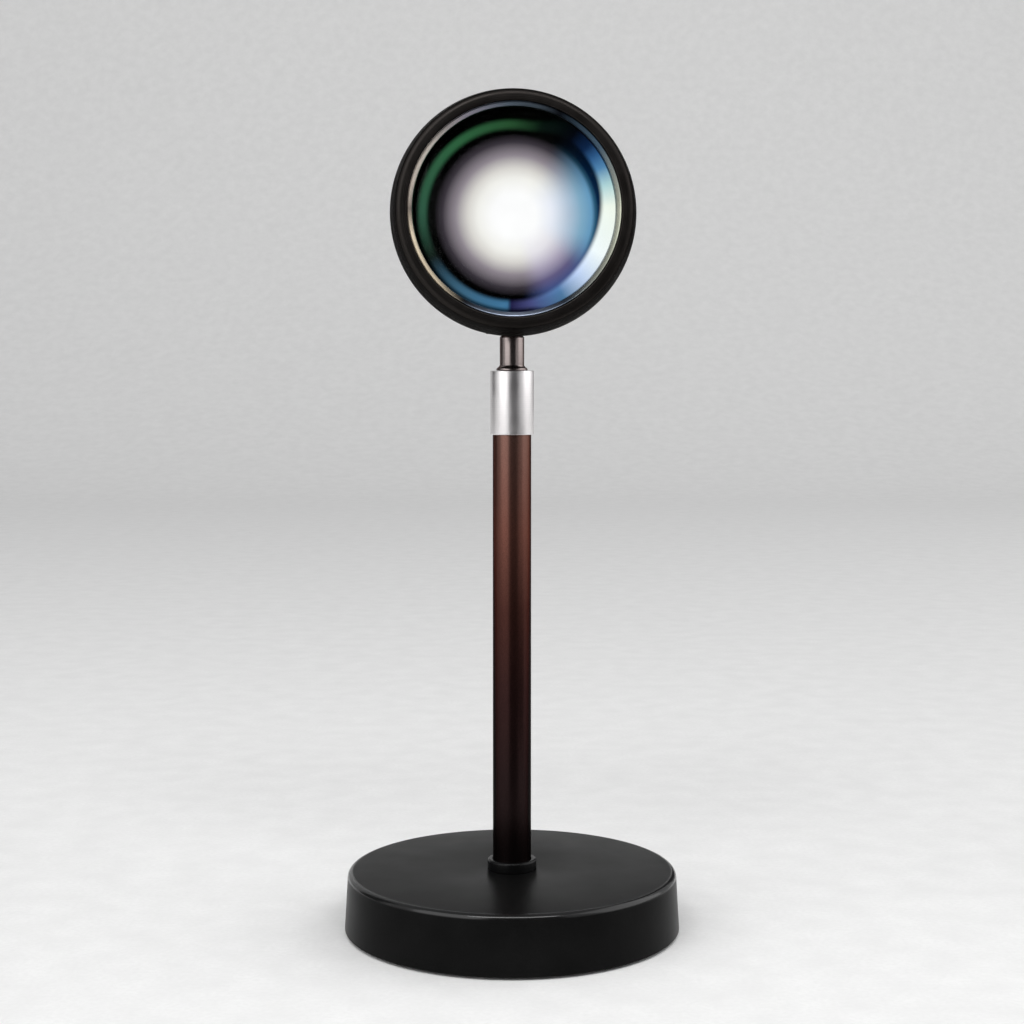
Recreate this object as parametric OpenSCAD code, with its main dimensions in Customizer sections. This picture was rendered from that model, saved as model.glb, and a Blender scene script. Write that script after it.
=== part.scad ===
// Sunset projection lamp: a weighted round base, a slim post with a bright ferrule,
// and a round projector head that swivels on a plated stem and tilts on a hidden knuckle.
// Millimetres, +Z up. The origin is the middle of the foot; the head looks along -Y.

/* [Base] */
// Diameter of the base at the foot
base_d = 100; // [90:1:130]
// Height of the base from the table to its top
base_h = 18; // [17:0.5:26]
// How far the base's side leans in towards its top
base_draft = 1.0; // [0:0.1:2.5]
// Radius of the base's top edge
base_edge_r = 1.4; // [0.6:0.1:3]
// Sheet thickness of the base's cover
cover_t = 1.6; // [1.2:0.1:2]
// Gap between the cover's skirt and the table
cover_lift = 0.8; // [0.4:0.1:1.2]
// Thickness of the foot pad
pad_t = 2; // [1.6:0.1:2.6]
// How far the foot pad's rim stays inside the plate's rim
pad_inset = 0.8; // [0.4:0.1:6]
// Thickness of the plate that closes the base
plate_t = 1.2; // [1:0.1:1.6]
// Diameter of the screws that hold the plate
plate_screw_d = 3; // [2.5:0.1:3.5]
// Head diameter of the plate's screws
plate_screw_head_d = 5.4; // [4.8:0.1:6]
// Length of the plate's screws, head included
plate_screw_l = 7; // [5:0.5:8]
// How many screws hold the plate
plate_screw_n = 3; // [3:1:5]
// Distance from the ballast's rim in to the plate's screws
plate_screw_inset = 14; // [8:0.5:18]
// Height of the ballast's rim
ballast_h = 9.2; // [8.6:0.1:9.6]
// Diameter of the ballast's raised middle
ballast_boss_d = 24; // [22:1:30]

/* [Cord inlet and driver] */
// Diameter of the cord that the inlet takes
cord_d = 3.4; // [3:0.1:4]
// Height of the inlet above the table
inlet_z = 8.6; // [8.2:0.1:9]
// Rubber between the cord and the cover
grommet_wall = 1.3; // [1:0.1:1.6]
// How far the grommet's flanges reach past the hole
grommet_flange = 1.2; // [0.8:0.1:1.4]
// Thickness of the grommet's flanges
grommet_flange_t = 1; // [0.8:0.1:1.2]
// Width of the driver board
board_w = 22; // [18:1:26]
// Length of the driver board
board_l = 19; // [16:1:20]
// Thickness of the driver board
board_t = 1.6; // [1.2:0.1:2]
// Height of the tray under the driver board
tray_h = 3; // [2.8:0.1:3.4]
// Wall of the tray
tray_wall = 1.5; // [1:0.1:2]
// Room behind the driver board for the end of the cord
inlet_room = 7.5; // [6:0.5:10]
// Diameter of the lamp's inner lead
lead_d = 2; // [1.6:0.1:2.2]

/* [Post] */
// Diameter of the post
post_d = 11.4; // [11:0.1:13]
// Wall of the post's tube
post_wall = 1; // [0.8:0.1:1.1]
// Length of the post's tube
post_l = 134.3; // [100:1:260]
// Wall of the collar at the post's foot
collar_wall = 1.55; // [1:0.05:3]
// Height of the collar at the post's foot
collar_h = 3.2; // [2:0.1:6]
// Outer diameter of the threaded tube that ties post, cover and ballast together
rod_d = 8; // [7.4:0.1:8.2]
// Bore of the threaded tube
rod_bore_d = 5.2; // [4.6:0.1:5.6]
// How far the threaded tube reaches into the post
rod_reach = 12; // [8:1:20]
// Width across the flats of the nut under the ballast
nut_af = 13; // [12:0.1:14]
// Thickness of the nut under the ballast
nut_t = 4; // [3:0.1:4.2]
// Outer diameter of the washer under the ballast
washer_d = 15; // [14:0.1:15.6]
// Thickness of the washer under the ballast
washer_t = 1; // [0.8:0.1:1.2]

/* [Ferrule and swivel] */
// Length of the ferrule
ferrule_h = 18.9; // [16:0.1:26]
// Wall of the ferrule where it grips the post
ferrule_wall = 0.7; // [0.6:0.05:1.4]
// How far the ferrule reaches down over the post
ferrule_grip = 4.2; // [4:0.1:6]
// Height of the ferrule's closed top
ferrule_lip_h = 3.6; // [2:0.1:5]
// How far the bush rests on the end of the post's tube
bush_rest = 0.35; // [0.2:0.05:0.6]
// Diameter of the stop screw
stop_screw_d = 2; // [1.6:0.1:2.4]
// Width of the retainer's stop lug, as an angle
stop_lug_angle = 16; // [10:1:30]
// Thickness of the thrust washer
thrust_washer_t = 0.7; // [0.5:0.1:1]
// Height of the retainer
retainer_h = 2.6; // [2.2:0.1:3]

/* [Stem and knuckle] */
// Diameter of the stem
stem_d = 7.2; // [6.8:0.1:7.6]
// Wall of the stem's tube
stem_wall = 1.1; // [0.9:0.1:1.3]
// Length of stem that shows between the ferrule and the knuckle
stem_show = 9.8; // [8:0.1:30]
// How far the stem's flange reaches past the stem
flange_reach = 1; // [0.6:0.1:1.6]
// Height of the stem's flange and its flare
flange_h = 1.5; // [1.2:0.1:2.4]
// Diameter of the knuckle's barrel
knuckle_d = 9.2; // [8.4:0.1:9.8]
// Width of the knuckle's barrel
knuckle_w = 8; // [7.4:0.1:9]
// Distance from the top of the stem to the tilt axis
pivot_rise = 6.2; // [5.8:0.1:8]
// Diameter of the wire passage in the knuckle
passage_d = 2.6; // [2.4:0.1:3]
// Diameter of the pivot screws' tips
pivot_d = 3; // [2.6:0.1:3.4]
// Diameter of the pivot screws' shanks
pivot_shank_d = 4; // [3.8:0.1:4.4]
// Head diameter of the pivot screws
pivot_head_d = 6; // [5.4:0.1:6.6]
// Head height of the pivot screws
pivot_head_h = 1.5; // [1:0.1:2]
// Thickness of the friction washers
pivot_washer_t = 0.4; // [0.3:0.05:0.8]
// Diameter of the friction washers
pivot_washer_d = 8.4; // [7:0.1:9]

/* [Head] */
// Diameter of the bezel's opening
bezel_mouth_d = 60.4; // [54:0.1:70]
// Width of the bezel's flat front ring
bezel_rim = 3.1; // [2.4:0.1:5]
// How far the bezel widens from its front ring to its back edge
bezel_flare = 2.2; // [1:0.1:4]
// Depth of the bezel
bezel_depth = 14; // [12:0.5:18]
// Thickness of the bezel's front lip
bezel_lip_t = 2.8; // [2:0.1:3.4]
// Distance from the tilt axis forward to the bezel's front face
bezel_front = 28; // [26:0.5:34]
// Edge radius of the bezel
bezel_edge_r = 0.8; // [0.4:0.1:1]
// How far the bezel's lip reaches over the lens ring's flange
lip_overlap = 0.8; // [0.5:0.1:1.4]
// How far the head's body steps in behind its front flange
body_step = 4; // [3.5:0.1:5]
// Wall of the head's body
body_wall = 2.5; // [2.2:0.1:3]
// Wall of the body's front flange
flange_wall = 1.6; // [1.4:0.1:2.2]
// How far the body's shoulder reaches past its front flange, behind the bezel
shoulder_reach = 1.6; // [0.8:0.1:2]
// Length of the shoulder that leads from the bezel down to the body
shoulder_l = 6; // [4:0.5:8]
// Distance from the tilt axis back to the body's rear end
body_back = 13; // [12:0.5:20]
// Gap between the tilt axis and the underside of the body
pivot_gap = 2.2; // [2:0.1:4]
// Radius of the body's two ears
ear_r = 5.2; // [4.8:0.1:5.6]
// Thickness of each ear
ear_t = 3.2; // [2.6:0.1:4]

/* [Optics] */
// Width of the lens ring's sloping face, from the bezel's opening in to the lens
ring_slope = 1.5; // [1.2:0.1:4]
// Thickness of the front lens at its rim
lens_edge_t = 4; // [3:0.1:4.4]
// How far the front lens bulges
lens_bulge = 3; // [1.6:0.1:3.2]
// Thickness of the lens gasket
gasket_t = 1; // [0.8:0.1:1.4]
// Width of the lens gasket
gasket_w = 2; // [1.6:0.1:2.2]
// Thickness of the lens ring's flange
ring_flange_t = 1.2; // [1:0.1:1.6]
// Room between the light barrel and the head's body, where the inner lead runs
lead_room = 3.9; // [3.3:0.1:5]
// Wall of the light barrel
barrel_wall = 1; // [0.8:0.1:1.4]
// Thickness of the light barrel's flange
barrel_flange_t = 1.5; // [1.2:0.1:2]
// Distance from the tilt axis forward to the filter's seat
filter_front = 9; // [8:0.1:10]
// Width of the filter's seat in the light barrel
filter_seat = 1; // [0.6:0.1:1.6]
// Thickness of the colour filter
filter_t = 1.1; // [0.8:0.1:1.4]
// Thickness of the filter's snap ring
clip_t = 1; // [0.8:0.1:1.2]
// Distance from the tilt axis back to the light barrel's rear end
barrel_back = 2; // [1:0.1:2.4]
// Diameter of the condenser lens
condenser_d = 14.2; // [12:0.1:15]
// Thickness of the condenser lens at its rim
condenser_edge_t = 1.2; // [0.8:0.1:1.6]
// How far the condenser lens bulges
condenser_bulge = 3.2; // [2:0.1:3.6]
// Wall of the condenser's holder
holder_wall = 1; // [0.8:0.1:1.2]
// Distance from the condenser's flat face back to the LED board
condenser_gap = 5; // [4:0.1:6]

/* [LED and heat sink] */
// Diameter of the LED board
led_board_d = 24; // [22:0.5:26]
// Thickness of the LED board
led_board_t = 1.6; // [1:0.1:2]
// Thickness of the thermal pad
thermal_pad_t = 0.5; // [0.3:0.1:0.8]
// Width of the LED emitter
emitter_w = 5; // [4:0.1:6]
// Height of the LED emitter's frame
emitter_h = 1; // [0.6:0.1:1.4]
// Diameter of the circle that the LED board's screws lie on
led_screw_pcd = 20.4; // [19.8:0.1:20.8]
// Diameter of the LED board's screws
led_screw_d = 2; // [1.6:0.1:2.2]
// Thickness of the wall that carries the LED board
led_wall_t = 4; // [3:0.1:6]
// Distance from the tilt axis back to the wall that carries the LED board
led_wall_back = 6; // [5.6:0.1:7]
// Thickness of the heat sink's plate
sink_plate_t = 2; // [1.6:0.1:3]
// Diameter of the heat sink's core
sink_core_d = 24; // [20:1:36]
// How many fins the heat sink has
fin_n = 4; // [2:1:7]
// Thickness of a fin
fin_t = 1.5; // [1:0.1:2.4]
// Gap between two fins
fin_gap = 1.5; // [1:0.1:3]
// Diameter of the heat sink's screw
sink_screw_d = 4; // [3:0.1:5]
// Head diameter of the heat sink's screw
sink_screw_head_d = 7; // [6:0.1:8]
// Head height of the heat sink's screw
sink_screw_head_h = 2.4; // [2:0.1:3]

/* [Fits] */
// Radial clearance of a shaft that turns in its bore
running_fit = 0.05; // [0.03:0.01:0.08]
// Clearance between pieces that are fixed together
snug = 0.05; // [0.03:0.01:0.08]
// Clearance around pieces that pass by without touching
clear = 0.4; // [0.3:0.05:0.6]

/* [Hidden] */
$fn = 96;
eps = 0.01;

// Fixed small measures
thread_depth = 0.7;
lead_play = 0.8;
lead_lift = 0.2;
bay_play = 0.9;
plug_rim = 3;
retainer_wall = 0.85;
lug_play = 0.25;
stem_end_play = 0.6;
stem_end_wall = 2.5;
stem_tail = 0.3;
pivot_tip_room = 0.5;
pivot_end_play = 0.3;
lens_play = 0.2;
lens_seat = 0.3;
led_screw_bite = 1.6;
led_screw_head_r = 1.6;
sink_counterbore = 3;
sink_screw_play = 0.3;
sink_screw_bite = 2;
tap_play = 0.4;

black = "#1c1c1d";
gloss_black = "#0d0d0f";
silver = "#c9c9cb";
chrome = "#e4e6e8";
steel = "#8f9296";
iron = "#4b4b4c";
rubber = "#232325";
copper = "#b9793f";
board_green = "#1f5a3a";

// Base, from the table up
base_r = base_d / 2;
plate_z = pad_t;
ballast_z = plate_z + plate_t;
cover_in_z = base_h - cover_t;
cover_side_top = base_h - base_edge_r;
ballast_r = base_r - base_draft - cover_t - clear;
plate_r = ballast_r;
pad_r = plate_r - pad_inset;
plate_screw_circle_r = ballast_r - plate_screw_inset;
plate_screw_r = plate_screw_d / 2;
nut_pocket_r = washer_d / 2 + clear;
nut_room = lead_d + lead_play;
nut_pocket_top = ballast_z + nut_room + nut_t + washer_t;

// Cord inlet and driver bay
cord_r = cord_d / 2;
grommet_r = cord_r + grommet_wall;
grommet_flange_r = grommet_r + grommet_flange;
function side_r(z) = base_r - base_draft * (z - cover_lift) / (cover_side_top - cover_lift);
grommet_seat_out = side_r(inlet_z - grommet_flange_r) + snug;
grommet_seat_in = sqrt(pow(side_r(inlet_z + grommet_flange_r) - cover_t, 2)
                       - pow(grommet_flange_r, 2)) - snug;
bay_w = board_w + 2 * bay_play;
tray_y = ballast_r - inlet_room - board_l;
bay_y = tray_y - bay_play;
tray_z = ballast_z;
board_z = tray_z + tray_h;
terminal_w = 9;
terminal_l = 6;
terminal_h = 4.4;

// Inner lead
lead_r = lead_d / 2;
lead_z = ballast_z + lead_r + lead_lift;
lead_bend = 3;
lead_slot_w = lead_d + lead_play;

// Post
post_r = post_d / 2;
post_bore_r = post_r - post_wall;
post_top = base_h + post_l;
rod_r = rod_d / 2;
nut_z = nut_pocket_top - washer_t - nut_t - 2 * snug;
rod_bottom = nut_z;
rod_top = base_h + rod_reach;
plug_h = rod_reach + plug_rim;

// Ferrule and swivel
ferrule_r = post_r + snug + ferrule_wall;
ferrule_z = post_top - ferrule_grip;
ferrule_top = ferrule_z + ferrule_h;
ferrule_edge = 0.45;
stem_r = stem_d / 2;
bush_r = post_bore_r + bush_rest;
bush_top = ferrule_top - ferrule_lip_h - snug;
bush_z = post_top + snug;
retainer_top = bush_z - snug - thrust_washer_t - snug;
retainer_z = retainer_top - retainer_h;
thread_r = stem_r - thread_depth;
retainer_r = thread_r + retainer_wall;
stop_lug_r = post_bore_r - lug_play;
stop_screw_z = (ferrule_z + post_top) / 2;
stop_screw_tip = retainer_r + lug_play;

// Stem and knuckle
stem_bore_r = stem_r - stem_wall;
stem_end_bore_r = lead_r + stem_end_play;
stem_z = retainer_z - stem_tail;
stem_top = ferrule_top + stem_show;
stem_bore_z = retainer_top + stem_end_wall;
pivot_z = stem_top + pivot_rise;
knuckle_r = knuckle_d / 2;
passage_r = passage_d / 2;
pivot_tip = passage_r + pivot_tip_room;
washer_x = knuckle_w / 2 + snug;
ear_x = washer_x + pivot_washer_t + snug;

// Head: its axis runs forward from here, and every place on it is a distance forward
mouth_r = bezel_mouth_d / 2;
face_r = mouth_r + bezel_rim;
bezel_r = face_r + bezel_flare;
head_flange_r = mouth_r + lip_overlap;
lens_show_r = mouth_r - ring_slope;
body_r = head_flange_r - body_step;
head_z = pivot_z + pivot_gap + body_r;
bezel_back = bezel_front - bezel_depth;
body_bore_r = body_r - body_wall;
head_flange_bore_r = head_flange_r - flange_wall;
ring_front = bezel_front - bezel_lip_t;
flange_front = ring_front - ring_flange_t;
lens_r = head_flange_bore_r - lens_play;
lens_back = flange_front - lens_edge_t;
gasket_back = lens_back - gasket_t;
flange_seat = gasket_back - barrel_flange_t;
shoulder_front = bezel_back - snug;
shoulder_r = head_flange_r + shoulder_reach;
barrel_r = body_bore_r - lead_room;
barrel_bore_r = barrel_r - barrel_wall;
filter_r = barrel_bore_r - snug;
led_board_r = led_board_d / 2;
led_board_back = -led_wall_back + thermal_pad_t;
led_board_front = led_board_back + led_board_t;
condenser_back = led_board_front + condenser_gap;
holder_r = condenser_d / 2 + snug + holder_wall;
led_screw_grip = led_board_t + thermal_pad_t + led_screw_bite;
sink_front = -body_back;
sink_back = sink_front - sink_plate_t - fin_n * (fin_t + fin_gap);
sink_spigot = body_back - led_wall_back - led_wall_t;
sink_screw_r = sink_screw_d / 2;
head_lead_z = head_z - (body_bore_r + barrel_r) / 2;
head_lead_start = pivot_z + knuckle_r + clear;
head_lead_bend = 1.2;
head_lead_y = barrel_back + clear + lead_r;

// Points of a round corner, from angle a to angle b about a centre
function round_corner(x, z, r, a, b, steps = 6) =
    [for (i = [0:steps]) [x + r * cos(a + (b - a) * i / steps), z + r * sin(a + (b - a) * i / steps)]];

// Points of a bulging face from its axis out to its rim
function bulge(rim_r, z, rise, steps = 14) =
    let (big_r = (rim_r * rim_r + rise * rise) / (2 * rise), half = asin(rim_r / big_r))
    [for (i = [0:steps]) [big_r * sin(half * i / steps), z + rise - big_r + big_r * cos(half * i / steps)]];

module ring(r_out, r_in, h) {
    difference() {
        cylinder(r = r_out, h = h);
        translate([0, 0, -eps]) cylinder(r = r_in, h = h + 2 * eps);
    }
}

// Local +Z runs forward along the head's axis
module on_head_axis(forward = 0) {
    translate([0, -forward, head_z]) rotate([90, 0, 0]) children();
}

// Local +Z runs along +X through the tilt axis
module on_pivot_axis() {
    translate([0, 0, pivot_z]) rotate([0, 90, 0]) children();
}

module on_both_sides() {
    children();
    mirror([1, 0, 0]) children();
}

module elbow(bend_r, tube_r) {
    rotate_extrude(angle = 90) translate([bend_r, 0]) circle(r = tube_r);
}

// ---- Base ----

module base_cover() {
    color(black) difference() {
        rotate_extrude() polygon(concat(
            [[base_r, cover_lift]],
            round_corner(base_r - base_draft - base_edge_r, cover_side_top, base_edge_r, 0, 90),
            [[rod_r + snug, base_h], [rod_r + snug, cover_in_z],
             [base_r - base_draft - cover_t, cover_in_z], [base_r - cover_t, cover_lift]]));
        translate([0, base_r / 2, inlet_z]) rotate([-90, 0, 0])
            cylinder(r = grommet_r + snug, h = base_r);
    }
}

module ballast() {
    color(iron) difference() {
        union() {
            translate([0, 0, ballast_z]) cylinder(r = ballast_r, h = ballast_h);
            translate([0, 0, ballast_z])
                cylinder(d = ballast_boss_d, h = cover_in_z - snug - ballast_z);
        }
        translate([0, 0, -eps]) cylinder(r = rod_r + snug, h = base_h);
        translate([0, 0, -eps]) cylinder(r = nut_pocket_r, h = nut_pocket_top + eps);
        translate([-bay_w / 2, bay_y, 0]) cube([bay_w, base_r, base_h]);
        translate([-lead_slot_w / 2, 0, 0]) cube([lead_slot_w, bay_y + eps, ballast_z + lead_slot_w]);
        at_plate_screws() cylinder(r = plate_screw_r + snug, h = plate_screw_l + tap_play);
    }
}

// The screws lie on a circle, with one at the front, away from the driver bay
module at_plate_screws() {
    for (i = [0:plate_screw_n - 1])
        rotate(-90 + 360 * i / plate_screw_n) translate([plate_screw_circle_r, 0, plate_z]) children();
}

module base_plate() {
    color(steel) difference() {
        translate([0, 0, plate_z]) cylinder(r = plate_r, h = plate_t - snug);
        at_plate_screws() translate([0, 0, -eps])
            cylinder(r1 = plate_screw_head_d / 2 + snug, r2 = plate_screw_r + snug, h = plate_t + 2 * eps);
    }
}

module plate_screws() {
    socket_r = 0.9;
    socket_depth = 0.8;
    color(steel) at_plate_screws() difference() {
        union() {
            cylinder(d1 = plate_screw_head_d, d2 = plate_screw_d, h = plate_t);
            cylinder(r = plate_screw_r, h = plate_screw_l);
        }
        translate([0, 0, -eps]) cylinder(r = socket_r, h = socket_depth, $fn = 6);
    }
}

module foot_pad() {
    color(rubber) cylinder(r = pad_r, h = pad_t);
}

module cord_grommet() {
    color(rubber) translate([0, 0, inlet_z]) rotate([-90, 0, 0]) difference() {
        union() {
            translate([0, 0, grommet_seat_in - grommet_flange_t])
                cylinder(r = grommet_flange_r, h = grommet_flange_t);
            translate([0, 0, grommet_seat_in - grommet_flange_t])
                cylinder(r = grommet_r, h = grommet_seat_out - grommet_seat_in + 2 * grommet_flange_t);
            translate([0, 0, grommet_seat_out]) cylinder(r = grommet_flange_r, h = grommet_flange_t);
        }
        translate([0, 0, grommet_seat_in - grommet_flange_t - eps])
            cylinder(r = cord_r, h = base_r);
    }
}

module driver_tray() {
    color(gloss_black) translate([-board_w / 2, tray_y, tray_z]) difference() {
        cube([board_w, board_l, tray_h]);
        translate([tray_wall, tray_wall, tray_wall / 2])
            cube([board_w - 2 * tray_wall, board_l - 2 * tray_wall, tray_h]);
    }
}

module driver_board() {
    chip = [6, 5, 1.6];
    coil_d = 5;
    coil_h = 3;
    part_gap = 0.8;
    color(board_green) translate([0, tray_y, board_z + snug]) {
        translate([-board_w / 2, 0, 0]) cube([board_w, board_l, board_t]);
        translate([-chip[0] / 2, part_gap, board_t - eps]) cube(chip);
        translate([0, 2 * part_gap + chip[1] + coil_d / 2, board_t - eps]) cylinder(d = coil_d, h = coil_h);
    }
}

module terminal_block() {
    wire_hole_d = 2;
    terminal_y = tray_y + board_l - terminal_l;
    color("#2f7d4f") translate([0, terminal_y, board_z + board_t + 2 * snug]) difference() {
        translate([-terminal_w / 2, 0, 0]) cube([terminal_w, terminal_l, terminal_h]);
        for (side = [-1, 1]) {
            translate([side * terminal_w / 4, terminal_l / 3, terminal_h / 2]) rotate([-90, 0, 0])
                cylinder(d = wire_hole_d, h = terminal_l);
            translate([side * terminal_w / 4, terminal_l / 3, terminal_h / 2])
                cylinder(d = wire_hole_d, h = terminal_h);
        }
    }
}

// ---- Post ----

module threaded_tube() {
    color(steel) translate([0, 0, rod_bottom]) ring(rod_r, rod_bore_d / 2, rod_top - rod_bottom);
}

module tube_nut() {
    color(steel) translate([0, 0, nut_z]) difference() {
        cylinder(d = nut_af / cos(30), h = nut_t, $fn = 6);
        translate([0, 0, -eps]) cylinder(r = rod_r + snug, h = nut_t + 2 * eps);
    }
}

module lock_washer() {
    color(steel) translate([0, 0, nut_pocket_top - washer_t - snug])
        ring(washer_d / 2, rod_r + snug, washer_t);
}

module post_plug() {
    color(steel) translate([0, 0, base_h + snug])
        ring(post_bore_r - snug, rod_r + snug, plug_h);
}

module post_tube() {
    color(black) difference() {
        translate([0, 0, base_h + snug]) ring(post_r, post_bore_r, post_l - snug);
        at_stop_screw() cylinder(r = stop_screw_d / 2 + snug, h = post_r);
    }
}

module post_collar() {
    edge = 0.6;
    color(gloss_black) translate([0, 0, base_h + snug]) rotate_extrude() polygon(concat(
        [[post_r + snug, 0], [post_r + snug + collar_wall, 0]],
        round_corner(post_r + snug + collar_wall - edge, collar_h - edge, edge, 0, 90),
        [[post_r + snug, collar_h]]));
}

module post_lead() {
    color(rubber) {
        translate([0, lead_bend, lead_z]) rotate([-90, 0, 0])
            cylinder(r = lead_r, h = tray_y - lead_bend - snug);
        translate([0, lead_bend, lead_z + lead_bend]) rotate([0, 90, 0]) rotate(-90)
            elbow(lead_bend, lead_r);
        translate([0, 0, lead_z + lead_bend])
            cylinder(r = lead_r, h = stem_z - stem_tail - lead_z - lead_bend);
    }
}

// ---- Ferrule and swivel ----

// Local +Z runs outwards along the stop screw, which enters from the back
module at_stop_screw() {
    translate([0, stop_screw_tip, stop_screw_z]) rotate([-90, 0, 0]) children();
}

module ferrule() {
    lip_r = stem_r + 0.2;
    color(silver) difference() {
        rotate_extrude() polygon([
            [post_r + snug, ferrule_z],
            [ferrule_r - ferrule_edge, ferrule_z],
            [ferrule_r, ferrule_z + ferrule_edge],
            [ferrule_r, ferrule_top - ferrule_edge],
            [ferrule_r - ferrule_edge, ferrule_top],
            [lip_r, ferrule_top],
            [lip_r, bush_top + snug],
            [bush_r + snug, bush_top + snug],
            [bush_r + snug, post_top + snug],
            [post_r + snug, post_top + snug]]);
        at_stop_screw() cylinder(r = stop_screw_d / 2 + snug, h = ferrule_r);
    }
}

module swivel_bush() {
    color("#d8d4c8") translate([0, 0, bush_z + snug])
        ring(bush_r, stem_r + running_fit, bush_top - bush_z - snug);
}

module stop_screw() {
    inset = 0.15;
    socket_d = 1;
    socket_depth = 0.95;
    screw_l = ferrule_r - stop_screw_tip - inset;
    color(steel) at_stop_screw() difference() {
        cylinder(d = stop_screw_d, h = screw_l);
        translate([0, 0, screw_l - socket_depth]) cylinder(d = socket_d, h = socket_depth + eps, $fn = 6);
    }
}

// ---- Stem ----

// The small flange above the ferrule has a straight rim and a hollow neck
module stem() {
    rim_h = flange_h * 0.4;
    neck_h = flange_h * 0.65;
    neck_r = stem_r + flange_reach * 0.35;
    color(chrome) rotate_extrude() polygon([
        [stem_end_bore_r, stem_z],
        [thread_r, stem_z],
        [thread_r, retainer_top],
        [stem_r, retainer_top],
        [stem_r, ferrule_top + snug],
        [stem_r + flange_reach, ferrule_top + snug],
        [stem_r + flange_reach, ferrule_top + rim_h],
        [neck_r, ferrule_top + neck_h],
        [stem_r, ferrule_top + flange_h],
        [stem_r, stem_top],
        [stem_bore_r, stem_top],
        [stem_bore_r, stem_bore_z],
        [stem_end_bore_r, stem_bore_z]]);
}

// The lug meets the stop screw before the wires inside could twist
module stem_retainer() {
    color(steel) translate([0, 0, retainer_z]) difference() {
        union() {
            cylinder(r = retainer_r, h = retainer_h - snug);
            rotate(-90 - stop_lug_angle / 2) rotate_extrude(angle = stop_lug_angle)
                translate([thread_r + snug, 0]) square([stop_lug_r - thread_r - snug, retainer_h - snug]);
        }
        translate([0, 0, -eps]) cylinder(r = thread_r + snug, h = retainer_h + 2 * eps);
    }
}

module thrust_washer() {
    color("#e0ddd2") translate([0, 0, retainer_top])
        ring(stop_lug_r, stem_r + snug, thrust_washer_t);
}

module knuckle() {
    neck_step = 0.6;
    neck_r = stem_r - neck_step;
    spigot_l = 6;
    color(chrome) difference() {
        union() {
            translate([0, 0, stem_top - spigot_l]) cylinder(r = stem_bore_r - snug, h = spigot_l + neck_step);
            translate([0, 0, stem_top + snug]) cylinder(r = neck_r, h = pivot_rise);
            translate([0, 0, stem_top + snug]) cylinder(r1 = stem_r, r2 = neck_r, h = neck_step);
            on_pivot_axis() translate([0, 0, -knuckle_w / 2]) cylinder(r = knuckle_r, h = knuckle_w);
        }
        translate([0, 0, stem_top - spigot_l - eps])
            cylinder(r = passage_r, h = spigot_l + pivot_rise + knuckle_d);
        on_both_sides() on_pivot_axis() translate([0, 0, pivot_tip - pivot_end_play])
            cylinder(r = pivot_d / 2 + running_fit, h = knuckle_w);
    }
}

module stem_lead() {
    color(rubber) translate([0, 0, stem_z]) cylinder(r = lead_r, h = pivot_z + knuckle_r - stem_z);
}

module pivot_screws() {
    socket_d = 2.6;
    socket_depth = 1;
    face_d = pivot_head_d * 0.72;
    head_x = ear_x + ear_t + snug;
    color(steel) on_both_sides() on_pivot_axis() difference() {
        union() {
            translate([0, 0, pivot_tip]) cylinder(d = pivot_d, h = ear_x - pivot_tip + eps);
            translate([0, 0, ear_x]) cylinder(d = pivot_shank_d, h = ear_t + snug + eps);
            translate([0, 0, head_x]) cylinder(d1 = pivot_head_d, d2 = face_d, h = pivot_head_h);
        }
        translate([0, 0, head_x + pivot_head_h - socket_depth])
            cylinder(d = socket_d, h = socket_depth + eps, $fn = 6);
    }
}

module pivot_washers() {
    color("#5b3a24") on_both_sides() on_pivot_axis() translate([0, 0, washer_x])
        ring(pivot_washer_d / 2, pivot_d / 2 + snug, pivot_washer_t);
}

// ---- Head ----

module housing() {
    shoulder_rim = 1;
    color(black) difference() {
        union() {
            on_head_axis() rotate_extrude() polygon([
                [body_bore_r, -body_back],
                [body_r, -body_back],
                [body_r, shoulder_front - shoulder_l],
                [shoulder_r, shoulder_front - shoulder_rim],
                [shoulder_r, shoulder_front],
                [head_flange_r, shoulder_front],
                [head_flange_r, flange_front],
                [head_flange_bore_r, flange_front],
                [head_flange_bore_r, flange_seat],
                [body_bore_r, flange_seat]]);
            on_head_axis(-led_wall_back - led_wall_t)
                cylinder(r = body_bore_r + eps, h = led_wall_t);
            on_both_sides() {
                on_pivot_axis() translate([0, 0, ear_x]) cylinder(r = ear_r, h = ear_t);
                translate([ear_x, -ear_r, pivot_z]) cube([ear_t, 2 * ear_r, pivot_gap + body_wall]);
            }
        }
        on_pivot_axis() translate([0, 0, -ear_x]) cylinder(r = knuckle_r + clear, h = 2 * ear_x);
        on_both_sides() on_pivot_axis() translate([0, 0, ear_x - eps])
            cylinder(r = pivot_shank_d / 2 + snug, h = ear_t + 2 * eps);
        on_head_axis(-led_wall_back - led_wall_t - eps)
            cylinder(r = sink_screw_r + snug, h = sink_screw_bite + tap_play);
        at_led_screws() translate([0, 0, -led_screw_grip - tap_play])
            cylinder(r = led_screw_d / 2 + snug, h = led_screw_grip);
    }
}

module bezel() {
    mouth_edge = 0.3;
    color(black) on_head_axis() rotate_extrude() polygon(concat(
        [[mouth_r, ring_front]],
        [[mouth_r, bezel_front - mouth_edge], [mouth_r + mouth_edge, bezel_front]],
        round_corner(face_r - bezel_edge_r, bezel_front - bezel_edge_r, bezel_edge_r, 90, 10),
        round_corner(bezel_r - bezel_edge_r, bezel_back + bezel_edge_r, bezel_edge_r, 0, -90),
        [[head_flange_r + snug, bezel_back], [head_flange_r + snug, ring_front]]));
}

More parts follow.
